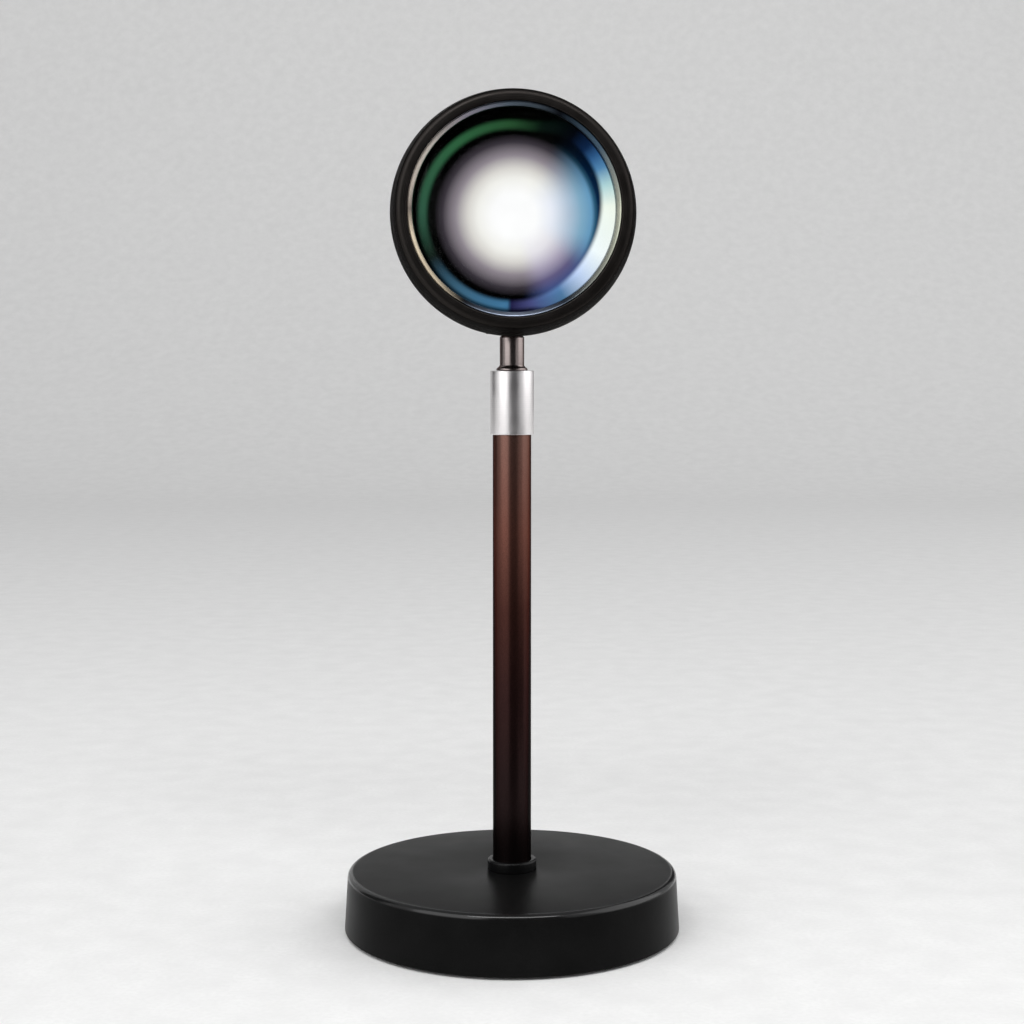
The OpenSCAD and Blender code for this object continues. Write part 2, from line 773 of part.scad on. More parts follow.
module lens_ring() {
    lip_set_back = 0.7;
    rim_t = 0.5;
    lip_front = bezel_front - lip_set_back;
    color(gloss_black) on_head_axis() rotate_extrude() polygon([
        [lens_show_r, flange_front + snug],
        [head_flange_r - snug, flange_front + snug],
        [head_flange_r - snug, ring_front - snug],
        [mouth_r - snug, ring_front - snug],
        [mouth_r - snug, lip_front],
        [mouth_r - rim_t, lip_front],
        [lens_show_r, flange_front + rim_t]]);
}

module lens() {
    land_r = lens_show_r + lens_seat;
    color([0.62, 0.74, 0.78, 0.6]) on_head_axis() rotate_extrude() polygon(concat(
        [[0, lens_back + snug]],
        bulge(lens_show_r - lens_seat, flange_front, lens_bulge),
        [[land_r, flange_front], [lens_r, flange_front], [lens_r, lens_back + snug]]));
}

module lens_gasket() {
    color(rubber) on_head_axis(gasket_back + snug)
        ring(lens_r, lens_r - gasket_w, gasket_t - snug);
}

// The barrel carries the filter and opens as a cone towards the lens
module light_barrel() {
    seat_r = barrel_bore_r - filter_seat;
    cone_back = filter_front + filter_t + clip_t + clear;
    cone_r = body_bore_r - snug - barrel_wall;
    color(gloss_black) on_head_axis() rotate_extrude() polygon([
        [seat_r, -barrel_back],
        [barrel_r, -barrel_back],
        [barrel_r, cone_back],
        [body_bore_r - snug, flange_seat + snug],
        [head_flange_bore_r - snug, flange_seat + snug],
        [head_flange_bore_r - snug, gasket_back],
        [cone_r, gasket_back],
        [barrel_bore_r, cone_back],
        [barrel_bore_r, filter_front],
        [seat_r, filter_front]]);
}

module filter_disc() {
    color([1, 0.55, 0.25, 0.7]) on_head_axis(filter_front + snug) cylinder(r = filter_r, h = filter_t - snug);
}

module filter_clip() {
    clip_w = 1.2;
    color(steel) on_head_axis(filter_front + filter_t + snug)
        ring(filter_r, filter_r - clip_w, clip_t);
}

module condenser_lens() {
    rim_r = condenser_d / 2;
    color([0.85, 0.92, 0.95, 0.6]) on_head_axis() rotate_extrude() polygon(concat(
        [[0, condenser_back + snug]],
        bulge(rim_r, condenser_back + condenser_edge_t, condenser_bulge),
        [[rim_r, condenser_back + snug]]));
}

module condenser_holder() {
    ledge = 1;
    color("#e9e9e6") on_head_axis() rotate_extrude() polygon([
        [holder_r - holder_wall - ledge, led_board_front + snug],
        [holder_r, led_board_front + snug],
        [holder_r, condenser_back + condenser_edge_t],
        [holder_r - holder_wall, condenser_back + condenser_edge_t],
        [holder_r - holder_wall, condenser_back],
        [holder_r - holder_wall - ledge, condenser_back]]);
}

module at_led_screws() {
    on_head_axis(led_board_front) for (side = [0, 180])
        rotate(side) translate([led_screw_pcd / 2, 0, 0]) children();
}

module led_board() {
    color("#e8e8e4") difference() {
        on_head_axis(led_board_back + snug) cylinder(r = led_board_r, h = led_board_t - snug);
        at_led_screws() translate([0, 0, -led_screw_grip])
            cylinder(r = led_screw_d / 2 + snug, h = 2 * led_screw_grip);
    }
}

module thermal_pad() {
    color("#9aa3ad") difference() {
        on_head_axis(-led_wall_back + snug) cylinder(r = led_board_r, h = thermal_pad_t - snug);
        at_led_screws() translate([0, 0, -led_screw_grip])
            cylinder(r = led_screw_d / 2 + snug, h = led_screw_grip);
    }
}

module led_emitter() {
    dome_r = emitter_w * 0.42;
    dome_h = dome_r * 0.7;
    color("#f2d35b") on_head_axis(led_board_front + snug) {
        translate([-emitter_w / 2, -emitter_w / 2, 0]) cube([emitter_w, emitter_w, emitter_h]);
        translate([0, 0, emitter_h - eps]) rotate_extrude()
            polygon(concat([[0, 0]], bulge(dome_r, 0, dome_h)));
    }
}

module led_screws() {
    head_h = 1.2;
    face_r = 1.2;
    socket_d = 1.2;
    socket_depth = 0.6;
    color(steel) at_led_screws() difference() {
        union() {
            translate([0, 0, snug]) cylinder(r1 = led_screw_head_r, r2 = face_r, h = head_h);
            translate([0, 0, -led_screw_grip])
                cylinder(d = led_screw_d, h = led_screw_grip + head_h - socket_depth);
        }
        translate([0, 0, head_h - socket_depth]) cylinder(d = socket_d, h = socket_depth + eps, $fn = 6);
    }
}

module head_lead() {
    rise_z = head_lead_z + head_lead_bend;
    color(rubber) {
        translate([0, 0, head_lead_start])
            cylinder(r = lead_r, h = head_lead_z - head_lead_bend - head_lead_start);
        translate([0, head_lead_bend, head_lead_z - head_lead_bend]) rotate([0, -90, 0]) rotate(-90)
            elbow(head_lead_bend, lead_r);
        translate([0, head_lead_bend, head_lead_z]) rotate([-90, 0, 0])
            cylinder(r = lead_r, h = head_lead_y - 2 * head_lead_bend);
        translate([0, head_lead_y - head_lead_bend, rise_z]) rotate([0, 90, 0])
            elbow(head_lead_bend, lead_r);
        translate([0, head_lead_y, rise_z])
            cylinder(r = lead_r, h = head_z - led_board_r - snug - rise_z);
    }
}

module heat_sink() {
    sink_edge = 0.6;
    color(black) difference() {
        union() {
            on_head_axis(sink_front - sink_plate_t)
                cylinder(r = body_bore_r - snug, h = sink_plate_t + sink_spigot - clear);
            on_head_axis(sink_front - sink_plate_t) cylinder(r = body_r, h = sink_plate_t - snug);
            on_head_axis(sink_back) cylinder(d = sink_core_d, h = sink_front - sink_back);
            for (i = [1:fin_n - 1])
                on_head_axis(sink_front - sink_plate_t - i * (fin_t + fin_gap))
                    cylinder(r = body_r, h = fin_t);
            on_head_axis(sink_back) rotate_extrude() polygon(concat(
                [[0, 0]], round_corner(body_r - sink_edge, sink_edge, sink_edge, -90, 0),
                [[body_r, fin_t], [0, fin_t]]));
        }
        on_head_axis(sink_back - eps)
            cylinder(r = sink_screw_r + sink_screw_play, h = sink_front + sink_spigot - sink_back + clear);
        on_head_axis(sink_back - eps) cylinder(r = sink_screw_head_d / 2 + clear, h = sink_counterbore);
    }
}

module heat_sink_screw() {
    edge = 0.6;
    socket_d = 3;
    socket_depth = 1.4;
    reach = sink_spigot + sink_screw_bite;
    head_back = sink_back + sink_counterbore - sink_screw_head_h;
    color(steel) difference() {
        union() {
            on_head_axis(head_back)
                cylinder(d1 = sink_screw_head_d - 2 * edge, d2 = sink_screw_head_d, h = edge);
            on_head_axis(head_back + edge)
                cylinder(d = sink_screw_head_d, h = sink_screw_head_h - edge - snug);
            on_head_axis(head_back + socket_depth)
                cylinder(r = sink_screw_r, h = sink_front + reach - head_back - socket_depth);
        }
        on_head_axis(head_back - eps) cylinder(d = socket_d, h = socket_depth, $fn = 6);
    }
}

base_cover();
ballast();
base_plate();
plate_screws();
foot_pad();
cord_grommet();
driver_tray();
driver_board();
terminal_block();
threaded_tube();
tube_nut();
lock_washer();
post_plug();
post_tube();
post_collar();
post_lead();
ferrule();
swivel_bush();
stop_screw();
stem();
stem_retainer();
thrust_washer();
knuckle();
stem_lead();
housing();
bezel();
lens_ring();
lens();
lens_gasket();
light_barrel();
filter_disc();
filter_clip();
condenser_lens();
condenser_holder();
led_board();
thermal_pad();
led_emitter();
led_screws();
head_lead();
heat_sink();
heat_sink_screw();
pivot_screws();
pivot_washers();
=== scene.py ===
# %% [markdown]
# # Sunset projection lamp
#
# A small table lamp: a round weighted base, a thin post, a short metal sleeve in which the neck
# swivels, and a round head whose thick glass lens throws a soft coloured disc on the wall. This
# notebook dresses the exact CAD solids of the lamp. It keeps the frame's millimetre sizes, makes
# finer versions of the pieces that show, and gives every piece the finish of the real one.

# %% Load the packed solids
from math import asin, cos, radians, sin, tau
import bmesh
import bpy
from mathutils import Matrix, Vector


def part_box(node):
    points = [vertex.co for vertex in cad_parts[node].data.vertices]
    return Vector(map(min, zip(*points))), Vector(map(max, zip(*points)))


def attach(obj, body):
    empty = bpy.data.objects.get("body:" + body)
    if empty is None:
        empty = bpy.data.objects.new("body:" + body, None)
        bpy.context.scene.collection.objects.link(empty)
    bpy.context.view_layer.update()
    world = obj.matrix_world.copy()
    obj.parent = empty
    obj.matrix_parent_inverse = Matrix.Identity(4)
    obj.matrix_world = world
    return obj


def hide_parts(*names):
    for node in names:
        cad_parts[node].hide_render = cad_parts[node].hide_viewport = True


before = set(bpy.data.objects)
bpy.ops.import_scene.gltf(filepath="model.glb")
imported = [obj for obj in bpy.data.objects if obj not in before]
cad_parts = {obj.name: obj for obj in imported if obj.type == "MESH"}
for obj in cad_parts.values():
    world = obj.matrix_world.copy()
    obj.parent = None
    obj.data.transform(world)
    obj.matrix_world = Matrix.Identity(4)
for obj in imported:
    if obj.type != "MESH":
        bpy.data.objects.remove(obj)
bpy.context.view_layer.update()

# %% [markdown]
# ## Sizes
#
# Every size is written in millimetres, as on a drawing, and turned to metres in one place. The few
# heights that carry the whole lamp are read from the CAD solids, so the dressed pieces sit exactly
# where the solids do.

# %% Heights and axes
MM = 0.001


def height(node, end):
    """How high a node's lowest point (0) or highest point (1) is, in mm."""
    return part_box(node)[end].z / MM


def middle(node):
    return (height(node, 0) + height(node, 1)) / 2


base_top = height("base_cover", 1)
post_top = height("post_tube", 1)
ferrule_bottom, ferrule_top = height("ferrule", 0), height("ferrule", 1)
tilt_z, head_z = middle("pivot_screws"), middle("bezel")
print("base top", round(base_top, 2), "ferrule", round(ferrule_bottom, 2), round(ferrule_top, 2),
      "tilt axis", round(tilt_z, 2), "head axis", round(head_z, 2))

# %% [markdown]
# ## The camera
#
# The printed lamp is seen from a little above its middle and a degree or so from its left, with a
# portrait lens from about half a metre. The camera stands there, and a small shift keeps the lamp
# in the middle of a square picture without tilting its upright lines.

# %% Set the camera
camera_data = bpy.data.cameras.new("camera")
camera_data.lens = 66
camera_data.sensor_width = 36
camera_data.shift_y = -0.042
camera = bpy.data.objects.new("camera", camera_data)
bpy.context.collection.objects.link(camera)
camera_turn, camera_pitch = radians(-1.5), radians(3)
camera_reach, camera_z = 0.556, 0.167
camera.location = (sin(camera_turn) * camera_reach, -cos(camera_turn) * camera_reach, camera_z)
camera.rotation_euler = (radians(90) - camera_pitch, 0, camera_turn)
bpy.context.scene.camera = camera
bpy.context.scene.view_settings.view_transform = "Standard"
print("camera at", [round(c, 3) for c in camera.location])

# %% [markdown]
# ## One helper for nodes, one for colours
#
# A material is a small graph. One helper adds a node, sets its settings and joins its sockets. It
# also fills a colour ramp, whose stops are pairs of a place and a colour. Another turns a screen
# colour, written in hex, into the linear numbers that the renderer works with.

# %% Colours and nodes


def paint(hex_colour):
    channels = [int(hex_colour[i:i + 2], 16) / 255 for i in (1, 3, 5)]
    linear = [c / 12.92 if c <= 0.04045 else ((c + 0.055) / 1.055) ** 2.4 for c in channels]
    return (*linear, 1.0)


def join(tree, node, joins):
    """Link a node's sockets to other sockets, or give them plain values."""
    for socket, value in joins.items():
        if isinstance(value, bpy.types.NodeSocket):
            tree.links.new(value, node.inputs[socket])
        else:
            node.inputs[socket].default_value = value


def add(tree, kind, joins=None, stops=(), **settings):
    """Add a node, with its settings, its links and, on a colour ramp, its stops."""
    node = tree.nodes.new(kind)
    for name, value in settings.items():
        setattr(node, name, value)
    join(tree, node, joins or {})
    for index, (position, colour) in enumerate(stops):
        run = node.color_ramp.elements
        stop = run[index] if index < len(run) else run.new(position)
        stop.position, stop.color = position, paint(colour)
    return node


def new_finish(name):
    """A new material: itself, its graph, its surface's shader and the place on the piece."""
    finish = bpy.data.materials.new(name)
    finish.use_nodes = True
    tree = finish.node_tree
    place = add(tree, "ShaderNodeTexCoord").outputs["Object"]
    return finish, tree, tree.nodes["Principled BSDF"], place


print("black reads back as", paint("#000000"))

# %% [markdown]
# ## Grain
#
# Nearly every finish here has a fine irregular grain: the orange peel of powder coat, the bead
# blast under an anodised skin, the bloom on rubber. It is a noise on the piece's own millimetres,
# which moves the colour a little, the roughness a little, and the surface by a few microns. A
# second noise, 14 mm across, is the cloudiness that handling and dust leave on any surface. A
# noise needs no wrapping round the piece, as an image would, and has no seam.

# %% The grain that most finishes share
cloud_mm = 14


def grained(name, dark, light, grain_mm, bump_um, rough, rough_spread=0.06, **shader_sockets):
    """A finish with an even grain: its two colours, the grain's size and how deep it is."""
    finish, tree, surface, place = new_finish(name)
    grain = add(tree, "ShaderNodeTexNoise", {
        "Vector": place, "Scale": 1 / (grain_mm * MM), "Detail": 3.0, "Roughness": 0.55})
    cloud = add(tree, "ShaderNodeTexNoise", {
        "Vector": place, "Scale": 1 / (cloud_mm * MM), "Detail": 2.0})
    both = add(tree, "ShaderNodeMath", {0: grain.outputs["Fac"], 1: cloud.outputs["Fac"]},
               operation="MULTIPLY")
    shade = add(tree, "ShaderNodeMapRange", {
        "Value": both.outputs[0], "From Min": 0.12, "From Max": 0.42})
    colour = add(tree, "ShaderNodeMix", {
        "Factor": shade.outputs[0], "A": paint(dark), "B": paint(light)}, data_type="RGBA")
    sheen = add(tree, "ShaderNodeMapRange", {
        "Value": cloud.outputs["Fac"], "From Min": 0.3, "From Max": 0.7,
        "To Min": rough - rough_spread, "To Max": rough + rough_spread})
    bump = add(tree, "ShaderNodeBump", {
        "Height": grain.outputs["Fac"], "Strength": 1.0, "Distance": bump_um * 0.001 * MM})
    join(tree, surface, {"Base Color": colour.outputs["Result"], "Roughness": sheen.outputs[0],
                         "Normal": bump.outputs[0], **shader_sockets})
    return finish


print("grained:", grained.__doc__)

# %% [markdown]
# ## Finishes of the base
#
# The cover is pressed steel with a black powder coat, baked to an even satin with a faint orange
# peel about 0.5 mm across. The coat is matt enough to show the post only as a soft dark streak.
# Over the rim it has drawn thin and smooth, so the rim catches one fine line of light. That smooth
# band is found by its place: far out from the lamp's axis, and close to the cover's top.
#
# Foam and rubber are dull, zinc plate is a bright grey, and cast iron keeps the grain of its sand
# mould.

# %% Powder coat, foam, plate and rubber
band_inner, band_outer = 47.3, 47.9
band_low, band_high = base_top - 1.6, base_top - 1.1
powder_coat = grained("powder_coated_steel", "#0b0b0b", "#121212", 0.5, 10, 0.32, 0.03,
                      **{"Specular IOR Level": 0.04, "Coat Roughness": 0.15})
tree = powder_coat.node_tree
surface, place = tree.nodes["Principled BSDF"], tree.nodes["Texture Coordinate"].outputs["Object"]
outward = add(tree, "ShaderNodeVectorMath", {0: place, 1: (1, 1, 0)}, operation="MULTIPLY")
outward = add(tree, "ShaderNodeVectorMath", {0: outward.outputs[0]}, operation="LENGTH")
upward = add(tree, "ShaderNodeSeparateXYZ", {"Vector": place})
near_side = add(tree, "ShaderNodeMapRange", {
    "Value": outward.outputs["Value"], "From Min": band_inner * MM, "From Max": band_outer * MM})
near_top = add(tree, "ShaderNodeMapRange", {
    "Value": upward.outputs["Z"], "From Min": band_low * MM, "From Max": band_high * MM})
rim = add(tree, "ShaderNodeMath", {0: near_side.outputs[0], 1: near_top.outputs[0]},
          operation="MULTIPLY")
gleam = add(tree, "ShaderNodeMapRange", {"Value": rim.outputs[0], "To Max": 0.8})
join(tree, surface, {"Coat Weight": gleam.outputs[0]})
foot_foam = grained("foot_foam", "#1b1b1c", "#2b2b2c", 0.7, 120, 0.9)
zinc_steel = grained("zinc_plated_steel", "#8d9097", "#aeb0b2", 0.8, 6, 0.38, 0.08, Metallic=1.0)
black_rubber = grained("moulded_rubber", "#121213", "#1e1e1f", 0.4, 14, 0.55)
grey_iron = grained("cast_grey_iron", "#38383a", "#575758", 0.9, 70, 0.62, 0.08, Metallic=1.0)
print("finishes:", [m.name for m in (powder_coat, foot_foam, zinc_steel, black_rubber, grey_iron)])

# %% [markdown]
# ## Paint on the post
#
# The post is steel tube in a dark satin paint with a little metal in it. In the photograph it runs
# from a warm brown under the sleeve to black at the foot, so the paint's colour changes with
# height: the darkening towards the foot is painted shade. Metal flake tints its own highlights,
# so the long streaks are brown too.

# %% Satin paint
flake_mm, film_um = 0.35, 3
satin_paint, tree, surface, place = new_finish("satin_metallic_paint")
rise = add(tree, "ShaderNodeSeparateXYZ", {"Vector": place}).outputs["Z"]
climb = add(tree, "ShaderNodeMapRange", {
    "Value": rise, "From Min": base_top * MM, "From Max": ferrule_bottom * MM})
# Painted shade: the paint's colour darkens by height towards the foot.
brown_paint_and_painted_shade = add(tree, "ShaderNodeValToRGB", {"Fac": climb.outputs[0]}, stops=[
    (0.0, "#211b1b"), (1.0, "#6c4f47"), (0.22, "#281d1d"), (0.42, "#342120"), (0.6, "#472b26"),
    (0.78, "#68433a")])
flake = add(tree, "ShaderNodeTexNoise", {
    "Vector": place, "Scale": 1 / (flake_mm * MM), "Detail": 2.0})
flake_shade = add(tree, "ShaderNodeMapRange", {
    "Value": flake.outputs["Fac"], "From Min": 0.3, "From Max": 0.7, "To Min": 0.82,
    "To Max": 1.12})
flecked = add(tree, "ShaderNodeMix", {
    "Factor": 1.0, "A": brown_paint_and_painted_shade.outputs["Color"], "B": flake_shade.outputs[0]},
    data_type="RGBA", blend_type="MULTIPLY")
film = add(tree, "ShaderNodeBump", {
    "Height": flake.outputs["Fac"], "Strength": 1.0, "Distance": film_um * 0.001 * MM})
join(tree, surface, {"Base Color": flecked.outputs["Result"], "Roughness": 0.28, "Metallic": 0.9,
                     "Normal": film.outputs[0], "Specular Tint": paint("#6a4a44")})
gloss_paint = grained("gloss_enamel", "#090909", "#111112", 0.6, 4, 0.26, 0.04,
                      **{"Specular IOR Level": 0.15})
print("finishes:", satin_paint.name, gloss_paint.name)

# %% [markdown]
# ## Turned and plated metal
#
# Turned parts keep very fine rings round their axis, here drawn 0.2 mm apart because the real ones
# are too fine to show. The sleeve's nickel is satin, which makes its highlights wide and soft. The
# neck is polished before it is chromed, so its streaks are sharper, and the anodised head keeps
# only a trace of the rings.

# %% Finishes with turning marks
smear_mm = 5


def turned_metal(name, dark, light, pitch_mm, mark_um, rough, about="Z", centre=(0, 0, 0),
                 **shader_sockets):
    """Metal with the fine rings that a lathe leaves about an axis."""
    finish, tree, surface, place = new_finish(name)
    centred = add(tree, "ShaderNodeMapping", {
        "Vector": place, "Location": [-c * MM for c in centre]})
    along = add(tree, "ShaderNodeSeparateXYZ", {"Vector": centred.outputs[0]})
    flat = add(tree, "ShaderNodeCombineXYZ", {
        axis: along.outputs[axis] for axis in "XYZ" if axis != about})
    reach = add(tree, "ShaderNodeVectorMath", {0: flat.outputs[0]}, operation="LENGTH")
    travel = add(tree, "ShaderNodeMath", {0: along.outputs[about], 1: reach.outputs["Value"]},
                 operation="ADD")
    count = add(tree, "ShaderNodeMath", {0: travel.outputs[0], 1: 1 / (pitch_mm * MM)},
                operation="MULTIPLY")
    marks = add(tree, "ShaderNodeTexNoise", {"W": count.outputs[0], "Scale": 1.0, "Detail": 2.0},
                noise_dimensions="1D")
    cloud = add(tree, "ShaderNodeTexNoise", {
        "Vector": place, "Scale": 1 / (smear_mm * MM), "Detail": 3.0})
    shade = add(tree, "ShaderNodeMapRange", {
        "Value": marks.outputs["Fac"], "From Min": 0.3, "From Max": 0.7})
    colour = add(tree, "ShaderNodeMix", {
        "Factor": shade.outputs[0], "A": paint(dark), "B": paint(light)}, data_type="RGBA")
    sheen = add(tree, "ShaderNodeMapRange", {
        "Value": cloud.outputs["Fac"], "From Min": 0.3, "From Max": 0.7,
        "To Min": rough * 0.85, "To Max": rough * 1.15})
    bump = add(tree, "ShaderNodeBump", {
        "Height": marks.outputs["Fac"], "Strength": 1.0, "Distance": mark_um * 0.001 * MM})
    join(tree, surface, {"Base Color": colour.outputs["Result"], "Roughness": sheen.outputs[0],
                         "Metallic": 1.0, "Normal": bump.outputs[0], **shader_sockets})
    return finish


head_centre = (0, 0, head_z)
satin_nickel = turned_metal("satin_nickel_plate", "#e6e3e4", "#f0edec", 0.2, 0.15, 0.34)
chrome_plate = turned_metal("chrome_plate", "#8a7f7d", "#988e8b", 0.2, 0.2, 0.25,
                            **{"Specular Tint": paint("#7a7071")})
black_anodised = turned_metal(
    "black_anodised_aluminium", "#232120", "#322f2d", 0.22, 1.2, 0.42, "Y", head_centre,
    Metallic=0.92, **{"Specular Tint": paint("#4c4846"), "Specular IOR Level": 0.2})
gloss_anodised = turned_metal(
    "bright_dip_black_anodised", "#0c0c0e", "#141417", 0.22, 0.4, 0.14, "Y", head_centre,
    Metallic=0.4, **{"Specular IOR Level": 0.5})
dark_steel = turned_metal("black_oxide_steel", "#1c1b1c", "#2b2a2b", 0.2, 1.5, 0.32, "Y",
                          head_centre)
print("finishes:", [m.name for m in (satin_nickel, chrome_plate, black_anodised, gloss_anodised,
                                     dark_steel)])

# %% [markdown]
# ## Finishes inside
#
# The wiring, the driver and the light engine are hidden, but they belong to the part and are seen
# when it is taken apart, so each has its own plain finish with its own grain. Moulded plastic is
# even, a printed board glossy under its mask, fibre dry and coarse, and silicone dull.

# %% Plastics, board, fibre, silicone and phosphor
lead_sheath = grained("pvc_lead_sheath", "#151516", "#222223", 0.5, 10, 0.5)
tray_plastic = grained("moulded_abs", "#1d1e20", "#292a2c", 0.4, 10, 0.48)
circuit_board = grained("green_solder_mask", "#123f28", "#1f5c3c", 1.2, 18, 0.32)
terminal_plastic = grained("green_polyamide", "#2a7547", "#378a58", 0.5, 9, 0.45)
acetal = grained("white_acetal", "#cfcabd", "#ddd9ce", 0.7, 6, 0.4)
fibre = grained("red_vulcanised_fibre", "#4d2f1f", "#6b452e", 0.35, 20, 0.7)
white_plastic = grained("white_polycarbonate", "#d9d9d5", "#e8e8e5", 0.6, 6, 0.35)
white_solder_mask = grained("white_solder_mask", "#d4d4d1", "#e6e6e3", 1.0, 10, 0.35)
thermal_silicone = grained("thermal_silicone", "#8b949e", "#a4acb4", 0.5, 20, 0.7)
led_phosphor = grained("led_phosphor", "#d9b93f", "#f0d867", 0.3, 12, 0.5)
print("materials so far:", len(bpy.data.materials))

# %% [markdown]
# ## Glass
#
# The front lens is clear crown glass, polished, with a dichroic coating on its flat back. The glass
# itself is only a clear body with an index of 1.5. Its front is bloomed, as a camera lens is, so it
# reflects little and the dark parts of the coating stay black. A renderer ties the reflection to
# the index, so it gets the index that reflects as little. A trace of noise in the roughness stands
# for the dust that any such lens carries.

# %% Clear glass and the amber filter
dust_mm, dust_haze = 3, 0.02


def glass(name, hex_colour, rough, index=1.5):
    """Clear or tinted glass under a trace of dust."""
    finish, tree, surface, place = new_finish(name)
    dust = add(tree, "ShaderNodeTexNoise", {
        "Vector": place, "Scale": 1 / (dust_mm * MM), "Detail": 4.0})
    film = add(tree, "ShaderNodeMapRange", {
        "Value": dust.outputs["Fac"], "From Min": 0.4, "From Max": 0.8,
        "To Min": rough, "To Max": rough + dust_haze})
    join(tree, surface, {"Base Color": paint(hex_colour), "Roughness": film.outputs[0],
                         "IOR": index, "Transmission Weight": 1.0})
    return finish


clear_glass = glass("polished_crown_glass", "#fdfefe", 0.0)
bloomed_glass = glass("bloomed_crown_glass", "#fdfefe", 0.0, 1.14)
filter_glass = glass("amber_dichroic_glass", "#ff9a4a", 0.02)
print("finishes:", [m.name for m in (clear_glass, bloomed_glass, filter_glass)])

# %% [markdown]
# ## The coating behind the lens
#
# The lamp is lit: a soft white disc of its own light fills the middle of the lens. Round it the
# coating carries painted reflections, one colour at each angle, so the ring outside the disc runs
# from deep green at the left and top, through blue and violet at the bottom, to sky blue, pale
# green and white at the right, with black between. The coating is drawn by its distance from the
# lens axis and by the angle round it. Both come from the piece's own coordinates, so the colours
# stay on the lens when the head turns.
#
# Distances are parts of the head's radius. The coating is nearer to the eye than the head's widest
# circle, and the eye is lower than the head, so the unit is a little smaller than the radius and
# the middle of the picture a little lower than the axis.

# %% Distance and angle on the lens


def turn_about_lens(tree, across):
    """The angle about the lens axis: 0 at nine o'clock, 0.25 at six, 0.5 at three, 0.75 at noon."""
    angle = add(tree, "ShaderNodeMath", {0: across.outputs["Z"], 1: across.outputs["X"]},
                operation="ARCTAN2")
    return add(tree, "ShaderNodeMapRange", {
        "Value": angle.outputs[0], "From Min": -tau / 2, "From Max": tau / 2}).outputs[0]


head_r, nearness, drop = 35.5, 0.984, 0.4
lens_unit = head_r * MM * nearness
coated_glass, tree, surface, place = new_finish("lit_coating_with_painted_reflections")
centred = add(tree, "ShaderNodeMapping", {
    "Vector": place, "Location": (0, 0, (head_z - drop) * MM),
    "Scale": (lens_unit, 1000, lens_unit)}, vector_type="TEXTURE").outputs[0]
across = add(tree, "ShaderNodeSeparateXYZ", {"Vector": centred})
turn = turn_about_lens(tree, across)
print("the coating's unit of distance:", round(lens_unit / MM, 1), "mm")

# %% [markdown]
# The glow is white in the middle and falls off softly, a little below and to the right of the
# axis. To the left it dies away through lavender grey. To the right it stays sky blue up to the
# coloured ring, and at the lower right it passes through violet. The three falls are mixed by the
# angle, so one side passes into the other without a seam.

# %% The glow
white_to, dark_from = 0.17, 0.65
off_axis = add(tree, "ShaderNodeVectorMath", {0: centred, 1: (-0.008, 0, 0.024)}, operation="ADD")
glow_reach = add(tree, "ShaderNodeVectorMath", {0: off_axis.outputs[0]}, operation="LENGTH")
glow_reach = glow_reach.outputs["Value"]
left_fall = add(tree, "ShaderNodeValToRGB", {"Fac": glow_reach}, stops=[
    (white_to, "#ffffff"), (dark_from, "#000000"), (0.3, "#f3f2ed"), (0.375, "#dad7d2"),
    (0.48, "#8d858d"), (0.585, "#38333a")])
right_fall = add(tree, "ShaderNodeValToRGB", {"Fac": glow_reach}, stops=[
    (white_to, "#ffffff"), (0.82, "#000000"), (0.3, "#e8ecf6"), (0.43, "#b5c6d8"),
    (0.54, "#80aac4"), (0.62, "#6599bd"), (0.65, "#2c5975"), (0.68, "#04203f")])
blue_side = add(tree, "ShaderNodeValToRGB", {"Fac": turn}, stops=[
    (0.32, "#000000"), (0.67, "#000000"), (0.42, "#ffffff"), (0.525, "#ffffff")])
violet_fall = add(tree, "ShaderNodeValToRGB", {"Fac": glow_reach}, stops=[
    (white_to, "#ffffff"), (0.8, "#000000"), (0.34, "#e8e5eb"), (0.47, "#aba3b8"),
    (0.575, "#605a80"), (0.65, "#435082"), (0.72, "#1a2c50")])
violet_side = add(tree, "ShaderNodeValToRGB", {"Fac": turn}, stops=[
    (0.265, "#000000"), (0.46, "#000000"), (0.325, "#ffffff"), (0.37, "#ffffff")])
for side in (blue_side, violet_side):
    side.color_ramp.interpolation = "EASE"
two_sided = add(tree, "ShaderNodeMix", {
    "Factor": blue_side.outputs["Color"], "A": left_fall.outputs["Color"],
    "B": right_fall.outputs["Color"]}, data_type="RGBA")
glow = add(tree, "ShaderNodeMix", {
    "Factor": violet_side.outputs["Color"], "A": two_sided.outputs["Result"],
    "B": violet_fall.outputs["Color"]}, data_type="RGBA")
print("white to", white_to, "of the head's radius, dark at the left from", dark_from)

# %% [markdown]
# Round the glow runs a ring of painted reflections. Its colours are the stops of one ramp, laid
# round the lens by the angle. The steel blue at the bottom ends at a sharp line, as it does on the
# printed lamp, so two of the stops stand close together.

# %% The colours of the ring
# Painted reflections: these colours stand for reflections, given off as light by the coating.
painted_reflection_colour = add(tree, "ShaderNodeValToRGB", {"Fac": turn}, stops=[
    (0.0, "#2c5541"), (1.0, "#2c5541"), (0.08, "#0d1713"), (0.15, "#3a6078"), (0.238, "#40749a"),
    (0.244, "#1d1940"), (0.28, "#45497a"), (0.335, "#4a7292"), (0.38, "#bfd1ea"),
    (0.43, "#f2faf8"), (0.51, "#f2faec"), (0.545, "#b0d5d6"), (0.575, "#5083ad"),
    (0.597, "#2c5583"), (0.615, "#0d2242"), (0.645, "#020308"), (0.7, "#04100a"),
    (0.76, "#264d2e"), (0.86, "#2d5f3d")])
print("colours round the ring:", len(painted_reflection_colour.color_ramp.elements))

# %% [markdown]
# The ring is thin where it is green and widens to a crescent at the right. Its inner and outer
# edges are two soft steps. Their places depend on how far to the right they are, and the
# crescent's inner edge also on its height, because the crescent is widest at its lower end.

